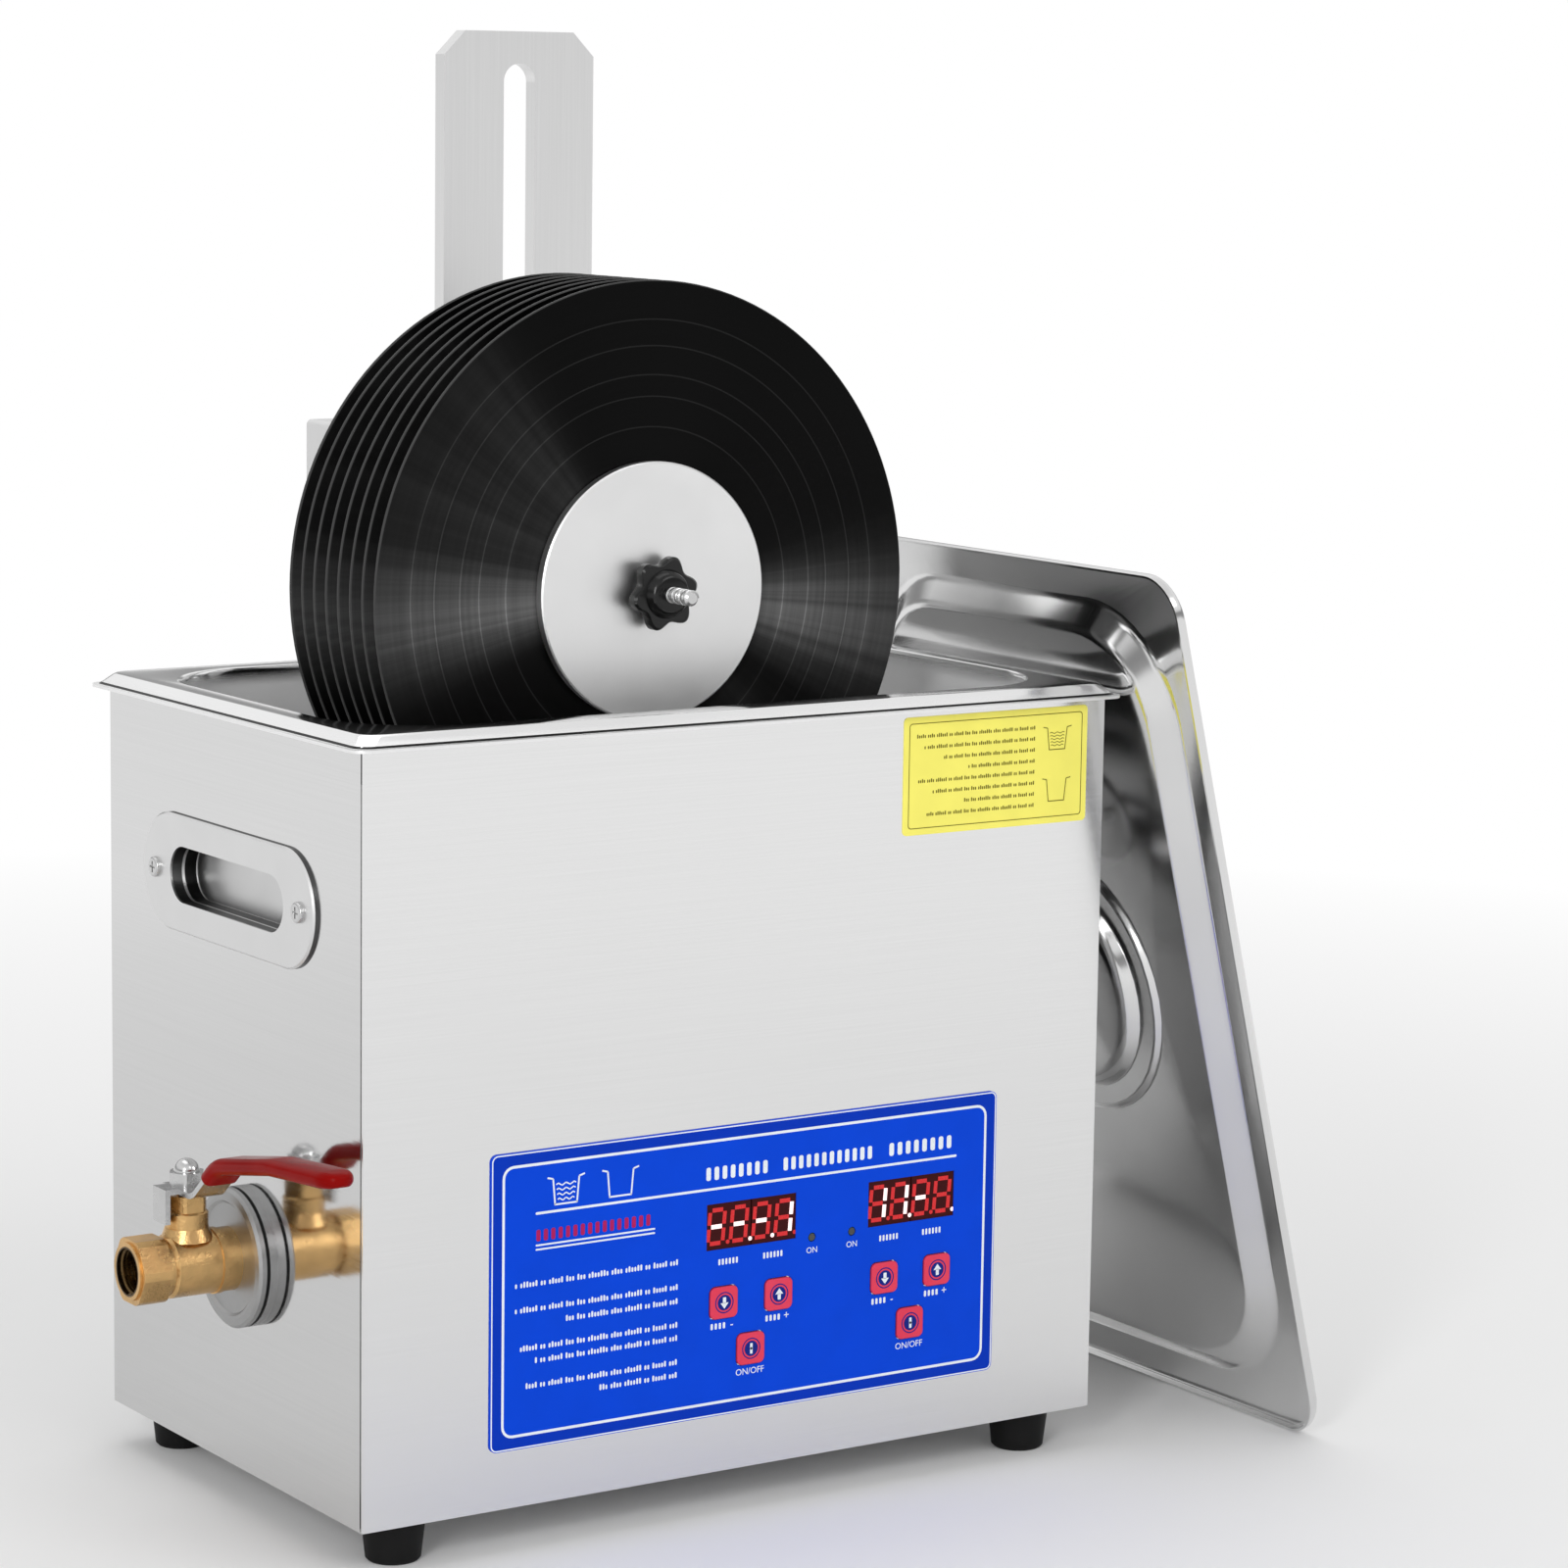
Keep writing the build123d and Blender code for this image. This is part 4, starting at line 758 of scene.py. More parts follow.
class Growing(Nodes):
    """A geometry node tree with named inputs."""

    def __init__(self, name):
        super().__init__(bpy.data.node_groups.new(name, "GeometryNodeTree"))
        self.sockets = {}
        self.tree.interface.new_socket("Geometry", in_out="OUTPUT", socket_type="NodeSocketGeometry")
        self.given = self.node("NodeGroupInput")
        self.result = self.node("NodeGroupOutput")

    def inputs(self, kind, *names):
        """New inputs of one kind."""
        for name in names:
            socket = self.tree.interface.new_socket(name, in_out="INPUT", socket_type="NodeSocket" + kind)
            self.sockets[name] = socket.identifier
        return [self.given.outputs[name] for name in names]

    def joined(self, *parts):
        """Several geometries as one."""
        join = self.node("GeometryNodeJoinGeometry")
        for part in parts:
            self.tree.links.new(part, join.inputs[0])
        return join.outputs[0]

    def placed(self, geometry):
        """The geometry turned and moved by two more inputs."""
        turn, place = self.inputs("Vector", "Turn", "Place")
        return self.socket("GeometryNodeTransform", {
            "Geometry": geometry, "Translation": place, "Rotation": turn,
        })

    def end(self, geometry):
        """Ends the tree with its material, which is an input too."""
        material, = self.inputs("Material", "Material")
        real = self.socket("GeometryNodeRealizeInstances", {"Geometry": geometry})
        dressed = self.socket("GeometryNodeSetMaterial", {"Geometry": real, "Material": material})
        self.fill(self.result, {0: dressed})
        return self

    def grow(self, name, body, slot, values, base_mesh=None, smooth=False):
        """Runs the tree and keeps its result as a plain mesh on a body."""
        carrier = link_object(name + "_seed", base_mesh or bpy.data.meshes.new(name + "_seed"))
        modifier = carrier.modifiers.new("grow", "NODES")
        modifier.node_group = self.tree
        for key, value in values.items():
            modifier[self.sockets[key]] = value
        depsgraph = bpy.context.evaluated_depsgraph_get()
        mesh = bpy.data.meshes.new_from_object(carrier.evaluated_get(depsgraph))
        bpy.data.objects.remove(carrier)
        mesh.name = name
        return add_piece(name, mesh, body, smooth)


def thread_tree():
    """A helical ridge, for a screw thread outside a stud or inside a bore."""
    g = Growing("thread")
    crest, radius, turns, length = g.inputs("Float", "Crest", "Radius", "Turns", "Length")
    helix = g.socket("GeometryNodeCurveSpiral", {
        "Resolution": 28, "Rotations": turns, "Start Radius": radius, "End Radius": radius,
        "Height": length,
    })
    ridge = g.socket("GeometryNodeCurvePrimitiveCircle", {"Resolution": 4, "Radius": crest})
    return g.end(g.placed(g.socket("GeometryNodeCurveToMesh", {
        "Curve": helix, "Profile Curve": ridge, "Fill Caps": True,
    })))


def screw_tree():
    """Pan head screws with a cross recess, one on each point, facing along the point's normal."""
    g = Growing("screws")
    points, = g.inputs("Geometry", "Points")
    radius, = g.inputs("Float", "Radius")
    dome = g.socket("GeometryNodeMeshUVSphere", {"Segments": 24, "Rings": 12, "Radius": 1.0})
    head = g.socket("GeometryNodeTransform", {"Geometry": dome, "Scale": (1.0, 1.0, SCREW_FLATTEN)})
    slots = []
    for size in SCREW_SLOTS:
        slots.append(g.socket("GeometryNodeTransform", {
            "Geometry": g.socket("GeometryNodeMeshCube", {"Size": size}),
            "Translation": (0.0, 0.0, SCREW_SLOTS_UP),
        }))
    screw = g.socket("GeometryNodeMeshBoolean", {0: head, 1: g.joined(*slots)}, operation="DIFFERENCE")
    facing = g.socket("GeometryNodeInputNamedAttribute", {"Name": "facing"}, data_type="FLOAT_VECTOR")
    turn = g.socket("FunctionNodeAlignRotationToVector", {"Vector": facing}, axis="Z")
    return g.end(g.socket("GeometryNodeInstanceOnPoints", {
        "Points": points, "Instance": screw, "Rotation": turn, "Scale": radius,
    }))


def guard_tree():
    """A round wire guard: rings one inside the other, on four spokes."""
    g = Growing("wire_guard")
    rings, = g.inputs("Int", "Rings")
    outer, wire = g.inputs("Float", "Outer radius", "Wire radius")
    index = g.socket("GeometryNodeInputIndex")
    hoops = g.socket("GeometryNodeInstanceOnPoints", {
        "Points": g.socket("GeometryNodeMeshLine", {"Count": rings, "Offset": (0.0, 0.0, 0.0)}),
        "Instance": g.socket("GeometryNodeCurvePrimitiveCircle", {"Resolution": 48, "Radius": 1.0}),
        "Scale": g.math("MULTIPLY", g.math("ADD", index, 1.0), g.math("DIVIDE", outer, rings)),
    })
    turn = g.math("ADD", g.math("MULTIPLY", index, QUARTER), QUARTER / 2)
    spokes = g.socket("GeometryNodeInstanceOnPoints", {
        "Points": g.socket("GeometryNodeMeshLine", {"Count": 4, "Offset": (0.0, 0.0, 0.0)}),
        "Instance": g.socket("GeometryNodeCurvePrimitiveLine", {"End": g.vector(X=outer)}),
        "Rotation": g.vector(Z=turn),
    })
    wires = g.socket("GeometryNodeRealizeInstances", {"Geometry": g.joined(hoops, spokes)})
    section = g.socket("GeometryNodeCurvePrimitiveCircle", {"Resolution": 8, "Radius": wire})
    return g.end(g.placed(g.socket("GeometryNodeCurveToMesh", {
        "Curve": wires, "Profile Curve": section, "Fill Caps": True,
    })))


def seed_points(name, places, facing):
    """A mesh of loose points that all face one way."""
    mesh = bpy.data.meshes.new(name)
    mesh.from_pydata(places, [], [])
    attribute = mesh.attributes.new("facing", "FLOAT_VECTOR", "POINT")
    for item in attribute.data:
        item.vector = facing
    return mesh


# ---- materials of the CAD nodes

def middle(node):
    """The middle of a CAD node's box."""
    low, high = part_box(node)
    return [(a + b) / 2 for a, b in zip(low, high)]


SPINDLE = middle("front_clamp_disc")
VALVE = middle("drain_gasket")
VALVE_BORE = 0.00995
FLAT_GRAIN = (8.0, 8.0, 1400.0)
UPRIGHT_GRAIN = (900.0, 900.0, 10.0)
STAND_GRAIN = (9.0, 900.0, 900.0)
CAST_GRAIN = (300.0, 300.0, 300.0)
# where the tank's painted shade line lies, in metres
RIM_SHADE_LINE = [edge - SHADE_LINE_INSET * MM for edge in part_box("tank")[1][:2]] + [SHADE_LINE_Z * MM]
RIM_LEVEL = (CROWN_TOP - CROWN_POLISHED) * MM
RECORD_R = (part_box("record_1")[1][2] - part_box("record_1")[0][2]) / 2

MATERIALS = {
    "case_steel": brushed_metal("case_steel", grey(230), 0.17, FLAT_GRAIN, spread=0.02, grain=0.04),
    "tank_steel": drawn_metal("tank_steel", grey(240), 0.13, 0.62, RIM_LEVEL, RIM_SHADE_LINE),
    "lid_steel": polished_metal("lid_steel", grey(224), 0.16),
    "rubber": moulded("rubber", grey(11), 0.6, grain=900.0, depth=0.0001, gloss=0.2),
    "plated_steel": polished_metal("plated_steel", grey(205), 0.22, 200.0),
    "handle_steel": pull_metal("handle_steel", 0.32, PULL_TONE_AND_SHADE_BANDS),
    "brass": cast_metal("brass", srgb(226, 184, 124), 0.27, VALVE, VALVE_BORE),
    "ball_chrome": polished_metal("ball_chrome", grey(220), 0.08, 100.0),
    "grey_washer": brushed_metal("grey_washer", grey(168), 0.34, CAST_GRAIN),
    "sleeve_red": moulded("sleeve_red", srgb(128, 6, 4), 0.22, grain=500.0, depth=0.00005, gloss=0.04),
    "overlay_blue": printed("overlay_blue", PANEL_BLUE, 0.42),
    "display_red": printed("display_red", srgb(62, 16, 18), 0.3),
    "key_red": moulded("key_red", KEY_RED, 0.35, grain=1200.0, depth=0.00003),
    "board_green": moulded("board_green", srgb(20, 92, 46), 0.5),
    "horn_metal": turned_metal("horn_metal", grey(190), 0.35, (0, 0, 0)),
    "heater_silicone": moulded("heater_silicone", srgb(150, 70, 40), 0.7),
    "black_plastic": moulded("black_plastic", grey(9), 0.26, grain=1500.0, depth=0.00005, coat=0.1),
    "vinyl": grooved_vinyl(SPINDLE, RECORD_R),
    "upright_aluminium": brushed_metal("upright_aluminium", grey(226), 0.3, UPRIGHT_GRAIN, 0.04, 0.06),
    "stand_steel": brushed_metal("stand_steel", grey(205), 0.42, STAND_GRAIN),
    "box_steel": moulded("box_steel", grey(214), 0.4, grain=1100.0, depth=0.00005),
    "motor_steel": polished_metal("motor_steel", grey(190), 0.3, 60.0),
    "clamp_aluminium": turned_metal("clamp_aluminium", grey(238), 0.4, SPINDLE),
    "spacer_plastic": moulded("spacer_plastic", grey(14), 0.45),
}


# The wrap is polished more brightly than the front and given a darker colour, as painted shade on the side
# walls.
WRAP_STEEL = brushed_metal("wrap_steel", grey(214), 0.06, FLAT_GRAIN, spread=0.04, grain=0.04)
OWN_FINISH = {"case_wrap": WRAP_STEEL}


def dress_nodes():
    """Gives every CAD node its own finish, or the finished material of its slot."""
    for subpart in frame["record"]["subparts"]:
        node = frame["nodes"][subpart["node"]]
        for slot in node.material_slots:
            slot.link = "OBJECT"
            slot.material = OWN_FINISH.get(subpart["node"], MATERIALS[subpart["material_slot"]])


# ---- tank and lid

def make_tank():
    """The tank drawn in one piece with its rim: lip, low sloping wall, flat top and well."""
    low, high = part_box("tank")
    lip_w, lip_d = high[0] / MM, high[1] / MM
    floor = low[2] / MM + TANK_SHEET
    run = math.tan(math.radians(TANK_DRAFT)) * (CROWN_TOP - floor)
    section = bent([
        loop(lip_w, lip_d, RIM_CORNER, LIP_TOP),
        loop(lip_w - LIP_FLAT, lip_d - LIP_FLAT, RIM_CORNER - 0.5, LIP_TOP),
        loop(lip_w - CROWN_INSET, lip_d - CROWN_INSET, RIM_CORNER + 1, CROWN_TOP),
        loop(TANK_W / 2, TANK_D / 2, TANK_R, CROWN_TOP),
        loop(TANK_W / 2 - run, TANK_D / 2 - run, TANK_R - run, floor),
        round_loop(DRAIN_R + 1, floor, *DRAIN_AT),
        round_loop(DRAIN_R, floor - 1, *DRAIN_AT),
    ], TANK_BENDS)
    sheet = pressed_sheet(section, TANK_SHEET, Matrix(), filled=False)
    tank = finish_piece("tank_pressing", sheet, MATERIALS["tank_steel"], "machine")
    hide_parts("tank")


def lid_place():
    """The lid's own frame, found from where its pan stands on the floor and leans."""
    low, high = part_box("lid_pan")
    lean = math.radians(LID_LEAN)
    up = Vector((-math.sin(lean), 0, math.cos(lean)))
    out = Vector((math.cos(lean), 0, math.sin(lean)))
    corner = Vector((low[0], (low[1] + high[1]) / 2, low[2]))
    reach = LID_L / 2 * Vector((math.sin(lean), 0, math.cos(lean)))
    origin = corner + (reach + LID_SKIRT * out) * MM
    return Matrix.Translation(origin) @ Matrix((Vector((0, 1, 0)), up, out)).transposed().to_4x4()


def make_lid_pan():
    """One pressing: a flange with a low skirt, a sloping wall, a flat panel and the cup."""
    half_w, half_l = LID_W / 2 - LID_SHEET, LID_L / 2 - LID_SHEET
    flange_w, flange_l = LID_W / 2 - LID_FLANGE, LID_L / 2 - LID_FLANGE
    step, tip = LID_PANEL - CUP_STEP, LID_PANEL - CUP_DEPTH
    section = bent([
        loop(half_w, half_l, LID_CORNER - LID_SHEET, -LID_SKIRT),
        loop(half_w, half_l, LID_CORNER - LID_SHEET, 0.0),
        loop(flange_w, flange_l, LID_WALL_CORNER, 0.0),
        loop(flange_w - LID_WALL, flange_l - LID_WALL, LID_WALL_CORNER - LID_WALL, LID_PANEL),
        round_loop(CUP_R, LID_PANEL, *CUP_AT),
        round_loop(CUP_STEP_R, step, *CUP_AT),
        round_loop(CUP_DOME_R, step, *CUP_AT),
        round_loop(CUP_SHOULDER_R, step - CUP_SHOULDER, *CUP_AT),
        round_loop(CUP_TIP_R, tip, *CUP_AT),
        round_loop(CUP_TIP_R / 4, tip, *CUP_AT),
    ], LID_BENDS)
    sheet = pressed_sheet(section, -LID_SHEET, lid_place(), filled=True)
    pan = finish_piece("lid_pressing", sheet, MATERIALS["lid_steel"], "lid")
    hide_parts("lid_pan")


def make_lid_bar():
    """A bent bar across the cup, its feet on the panel and its top level with the flange."""
    foot = LID_PANEL + LID_SHEET + BAR_T / 2
    top = foot + BAR_RISE
    reach, crook, bridge = CUP_R + BAR_FOOT, CUP_R + 1, CUP_R - BAR_SLOPE
    path = bent([
        (-reach, foot), (-crook, foot), (-bridge, top), (bridge, top), (crook, foot), (reach, foot),
    ], BAR_BENDS)
    place = lid_place() @ Matrix.Translation((CUP_AT[0] * MM, CUP_AT[1] * MM, 0))
    bar = bent_bar([tuple(point) for point in path], BAR_W, BAR_T, place)
    handle = finish_piece("lid_bar", bar, MATERIALS["lid_steel"], "lid")
    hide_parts("lid_handle")


# ---- the drain lever's grip and the clamp knob

def make_grip():
    """The soft grip dipped over the lever, thick and round at its edges and tip."""
    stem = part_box("valve_body")[0][0] + STEM_FROM_OUTLET * MM
    half_w, half_t = GRIP_W / 2, GRIP_T / 2
    sections = [(at, side, half_w, half_t) for at, side in along(bent(GRIP_PATH, GRIP_BENDS))]
    start, side = sections[0][:2]
    run = Vector((side.y, -side.x))
    mouth = start - run * GRIP_MOUTH_STEP
    sections.insert(0, (mouth, side, half_w - GRIP_MOUTH_INSET, half_t - GRIP_MOUTH_INSET))
    end, side = sections[-1][:2]
    run = Vector((side.y, -side.x))
    for degrees in GRIP_TIP_TURNS:
        turn = math.radians(degrees)
        reach = end + run * half_w * GRIP_TIP * math.sin(turn)
        sections.append((reach, side, half_w * math.cos(turn), half_t * math.cos(turn) ** 0.5))
    rows = []
    for at, side, wide, thick in sections:
        outline = rounded_outline(-wide, -thick, wide, thick, min(wide, thick) * GRIP_CORNER, 5)
        rows.append([
            (stem + a * MM, VALVE[1] - (at.x + side.x * b) * MM, VALVE[2] + (at.y + side.y * b) * MM)
            for a, b in outline
        ])
    grip = finish_piece("lever_grip", capped(rows), MATERIALS["sleeve_red"], "drain_lever")
    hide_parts("lever_sleeve")


def make_clamp_star():
    """A star knob: a thin wavy grip round a broad hub with a sloping edge."""
    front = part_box("clamp_knob")[0][1]
    rows = []
    for behind, radius, depth in KNOB_ROWS:
        row = []
        for n in range(KNOB_POINTS):
            angle = 2 * math.pi * n / KNOB_POINTS
            reach = radius + depth * math.cos(KNOB_LOBES * (angle - math.radians(KNOB_TURN)))
            across, up = reach * MM * math.cos(angle), reach * MM * math.sin(angle)
            row.append((SPINDLE[0] + across, front + behind * MM, SPINDLE[2] + up))
        rows.append(row)
    black = MATERIALS["black_plastic"]
    star = finish_piece("clamp_star", capped(rows), black, "clamp_knob")
    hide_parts("clamp_knob")


# ---- the control panel

def panel_origin():
    """Middle of the panel's front face."""
    low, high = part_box("control_overlay")
    return (low[0] + high[0]) / 2, low[1], (low[2] + high[2]) / 2


def panel_outline(inset, radius):
    """The panel's outline, drawn in."""
    low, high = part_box("control_overlay")
    half_w = (high[0] - low[0]) / 2 / MM
    half_h = (high[2] - low[2]) / 2 / MM
    return rounded_outline(inset - half_w, inset - half_h, half_w - inset, half_h - inset, radius)


def make_panel_print():
    """The panel's white, red and dark blue print."""
    ink = Print(*panel_origin())
    edge_inner = panel_outline(PANEL_EDGE_GAP + PANEL_EDGE_LINE, PANEL_EDGE_R - PANEL_EDGE_LINE)
    border = panel_outline(PANEL_BORDER_INSET, PANEL_BORDER_R)
    ink.band(panel_outline(PANEL_EDGE_GAP, PANEL_EDGE_R), edge_inner)
    ink.band(border, panel_outline(PANEL_BORDER_INSET + PANEL_BORDER_W, PANEL_BORDER_R - PANEL_BORDER_W))
    ink.bar(-RULE_HALF, RULE_HALF, RULE_Z, RULE_T)
    for start, end in TITLE_WORDS:
        print_dashes(ink, start, end, TITLE_Z, TITLE_H)
    for down in HEADING_RULES_DOWN:
        ink.bar(*HEADING_RULES, HEADING_Z + down, HEADING_RULE_T)
    for line_z, left in TEXT_LINES.items():
        print_words(ink, left, TEXT_RIGHT, line_z, TEXT_H)
    for tub_x in PANEL_TUBS_X:
        print_tub(ink, tub_x, PANEL_TUBS_Z, *PANEL_TUB)
    print_water(ink, PANEL_TUBS_X[0], PANEL_TUBS_Z, *PANEL_WATER)
    print_legends(ink)
    ink.piece("panel_ink_white", printed("ink_white", INK_WHITE), "machine", "overlay_blue")
    red = Print(*panel_origin())
    print_dashes(red, *HEADING, HEADING_Z, HEADING_H)
    red.piece("panel_ink_red", printed("ink_red", INK_RED), "machine", "overlay_blue")
    dark = Print(*panel_origin(), INK_T / 2)
    dark.band(edge_inner, border)
    dark.piece("panel_ink_dark", printed("ink_dark", PANEL_BLUE_DARK), "machine", "overlay_blue")


def print_words(ink, left, right, z, height):
    """A line of print shown as upright dashes in groups; the groups follow a fixed rhythm."""
    groups, tall = cycle(DASH_GROUPS), cycle(DASH_TALL)
    width = height * DASH_W
    pitch = height * DASH_PITCH
    end = right
    while end - width > left:
        for _ in range(next(groups)):
            if end - width < left:
                break
            top = z + height / 2 + height * DASH_RISE * next(tall)
            ink.patch(rounded_outline(end - width, z - height / 2, end, top, width * DASH_CORNER, 1))
            end -= pitch
        end -= pitch * DASH_GAP


def print_dashes(ink, left, right, z, height):
    """One word of a heading, shown as upright dashes of one height."""
    count = max(1, round((right - left) / (height * DASH_PITCH)))
    pitch = (right - left) / count
    width = pitch * HEADING_DASH_W
    bottom, top = z - height / 2, z + height / 2
    for dash in range(count):
        start = left + dash * pitch
        ink.patch(rounded_outline(start, bottom, start + width, top, width * HEADING_DASH_CORNER, 2))


def print_tub(ink, x, z, top_w, floor_w, height, stroke):
    """The outline of a bath with a small sloping rim."""
    top = z + height / 2
    floor = z - height / 2
    for side in (-1, 1):
        rim = (x + side * top_w / 2, top)
        shoulder = (x + side * top_w * TUB_RIM_FOOT, top - stroke)
        corner = (x + side * floor_w / 2, floor)
        ink.line(rim, shoulder, stroke)
        ink.line(shoulder, corner, stroke)
    ink.bar(x - (floor_w + stroke) / 2, x + (floor_w + stroke) / 2, floor, stroke)


def print_water(ink, x, z, waves, lowest, pitch, width, gain, stroke):
    """Wavy lines of water in a bath, each wider than the one below."""
    for wave in range(waves):
        wide = width + gain * wave
        level = z + lowest + pitch * wave
        places = [
            (x - wide / 2 + n * wide / 10, level + stroke * math.sin(n * QUARTER)) for n in range(11)
        ]
        for start, end in zip(places, places[1:]):
            ink.line(start, end, stroke)


def panel_spot(node):
    """The middle of a node on the panel: across and up from the panel's middle, in mm."""
    place, origin = middle(node), panel_origin()
    return (place[0] - origin[0]) / MM, (place[2] - origin[2]) / MM


def print_legends(ink):
    """ON under the two indicators, ON/OFF under the switch keys, signs by the others."""
    x0, _, z0 = panel_origin()
    for group in ("time", "temp"):
        for key, sign in (("down", "-"), ("up", "+")):
            u, v = panel_spot(f"key_{group}_{key}")
            left, right = [u + reach for reach in LEGEND_FROM_KEY]
            print_dashes(ink, left, right, v - LEGEND_DOWN, LEGEND_H)
            ink.words(sign, u + SIGN_FROM_KEY[0], v + SIGN_FROM_KEY[1], SIGN_H)
        u, v = panel_spot(f"key_{group}_switch")
        ink.words("ON/OFF", u, v - LEGEND_DOWN, SWITCH_WORD_H)
        low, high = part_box(f"{group}_display")
        v = (low[2] - z0) / MM - DISPLAY_LEGEND_DOWN
        for share in (0.25, 0.75):
            u = (low[0] + (high[0] - low[0]) * share - x0) / MM
            print_dashes(ink, u - DISPLAY_LEGEND_HALF, u + DISPLAY_LEGEND_HALF, v, LEGEND_H)
    for u in indicator_places():
        ink.words("ON", (u - x0) / MM, INDICATOR_WORD_Z, LEGEND_H)


def indicator_places():
    """Across: the two indicators stand between the displays."""
    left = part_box("time_display")[1][0]
    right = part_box("temp_display")[0][0]
    centre = (left + right) / 2
    return (centre - INDICATOR_FROM_MIDDLE * MM, centre + INDICATOR_FROM_MIDDLE * MM)


def make_indicators():
    """The lens of each indicator light, just below the panel's face."""
    _, y, z0 = panel_origin()
    lens = Print(0, y + INDICATOR_DEPTH * MM, z0 + INDICATOR_Z * MM, INDICATOR_T)
    for u in indicator_places():
        lens.patch(round_outline(u / MM, 0, INDICATOR_R, 20))
    lens.piece("indicator_lenses", moulded("indicator_lens", grey(70), 0.15), "machine", "display_red")


# The two ends of each segment, as shares of a digit's width and height.
SEGMENTS = {
    "top": ((-0.36, 0.5), (0.36, 0.5)), "upper_left": ((-0.5, 0.44), (-0.5, 0.06)),
    "upper_right": ((0.5, 0.44), (0.5, 0.06)), "middle": ((-0.36, 0), (0.36, 0)),
    "lower_left": ((-0.5, -0.06), (-0.5, -0.44)), "lower_right": ((0.5, -0.06), (0.5, -0.44)),
    "bottom": ((-0.36, -0.5), (0.36, -0.5)),
}
DASH = {"middle"}
ONE = {"upper_right", "lower_right"}
BLANK = set()


def make_digits(display, lit_segments, lit_points):
    """Four seven-segment digits on a display's face, each with its point."""
    low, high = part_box(display)
    x0, z0 = (low[0] + high[0]) / 2, (low[2] + high[2]) / 2
    unlit = Print(x0, low[1], z0, SEGMENT_DIM_T)
    lit = Print(x0, low[1], z0, SEGMENT_LIT_T)
    pitch = (high[0] - low[0]) / 4 / MM
    for digit in range(4):
        centre = (digit - 1.5) * pitch - DIGIT_LEFT
        for name, ends in SEGMENTS.items():
            target = lit if name in lit_segments[digit] else unlit
            start, end = [(centre + a * DIGIT_W + b * DIGIT_SLANT, b * DIGIT_H) for a, b in ends]
            target.line(start, end, SEGMENT_W)
        target = lit if digit in lit_points else unlit
        target.patch(round_outline(centre + DIGIT_W / 2 + POINT_RIGHT, -DIGIT_H / 2, POINT_R, 12))
    dim_red = glowing(display + "_dim", SEGMENT_DIM, SEGMENT_DIM_GLOW)
    unlit.piece(display + "_segments", dim_red, "machine", "display_red")
    lit_red = glowing(display + "_lit", SEGMENT_LIT, SEGMENT_LIT_GLOW)
    lit.piece(display + "_lit", lit_red, "machine", "display_red")


def print_arrow(ink, up):
    """An arrow that points up, or down where up is -1."""
    head = [(x, z * up) for x, z in ARROW_HEAD]
    ink.patch(head[::up])
    low, high = sorted(end * up for end in ARROW_STEM_ENDS)
    half_w = ARROW_STEM_HALF_W
    ink.patch(rounded_outline(-half_w, low, half_w, high, ARROW_STEM_CORNER, 2))


def make_key_symbols():
    """On each key a dark round field in a thin ring, with an arrow or a bar."""
    field_ink = printed("key_field", KEY_BLUE)
    mark_ink = printed("key_mark", INK_WHITE)
    for group in ("time", "temp"):
        for key in ("down", "up", "switch"):
            node = f"key_{group}_{key}"
            x, _, z = middle(node)
            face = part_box(node)[0][1]
            field = Print(x, face, z)
            field.patch(round_outline(0, 0, SYMBOL_FIELD_R))
            ring = round_outline(0, 0, SYMBOL_RING_R + SYMBOL_RING_W)
            field.band(ring, round_outline(0, 0, SYMBOL_RING_R))
            field.piece(node + "_field", field_ink, node, "key_red")
            mark = Print(x, face - INK_T * MM, z)
            if key == "switch":
                half_w, half_h = SWITCH_MARK_HALF_W, SWITCH_MARK_HALF_H
                mark.bar(-SWITCH_MARK_DOT / 2, SWITCH_MARK_DOT / 2, 0, SWITCH_MARK_DOT)
                mark.patch(rounded_outline(-half_w, -half_h, half_w, half_h, SWITCH_MARK_CORNER, 2))
            else:
                print_arrow(mark, 1 if key == "up" else -1)
            mark.piece(node + "_mark", mark_ink, node, "key_red")


def make_yellow_plate():
    """A plain yellow plate with a thin dark border and two small baths beside plain bars."""
    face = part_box("front_panel")[0][1]
    plate = Print(0, face, 0, PLATE_T)
    plate.patch(rounded_outline(PLATE_X0, PLATE_Z0, PLATE_X1, PLATE_Z1, PLATE_CORNER))
    plate.piece("yellow_plate", printed("plate_yellow", YELLOW, 0.4), "machine", "overlay_blue")
    ink = Print(0, face - PLATE_T * MM, 0)
    border = []
    for inset, radius in PLATE_LINE:
        x0, z0, x1, z1 = PLATE_X0 + inset, PLATE_Z0 + inset, PLATE_X1 - inset, PLATE_Z1 - inset
        border.append(rounded_outline(x0, z0, x1, z1, radius))
    ink.band(*border)
    left, right, top = PLATE_X0 + PLATE_TEXT_LEFT, PLATE_X1 - PLATE_TEXT_RIGHT, PLATE_Z1 - PLATE_TEXT_TOP
    for row, indent in enumerate(PLATE_INDENTS):
        print_words(ink, left + indent, right, top - row * PLATE_TEXT_PITCH, PLATE_TEXT_H)
    tubs_x = PLATE_X1 - PLATE_TUBS_RIGHT
    for tub_z in PLATE_TUBS_Z:
        print_tub(ink, tubs_x, tub_z, *PLATE_TUB)
    print_water(ink, tubs_x, PLATE_TUBS_Z[0], *PLATE_WATER)
    ink.piece("yellow_plate_ink", printed("plate_ink", INK_OLIVE), "machine", "overlay_blue")


# ---- small repeated pieces

def thread_sizes(thread, material, turn, place):
    """The inputs of one thread, in metres."""
    crest, radius, turns, length = thread
    return {
        "Crest": crest * MM, "Radius": radius * MM, "Turns": turns, "Length": length * MM,
        "Material": MATERIALS[material], "Turn": turn, "Place": place,
    }


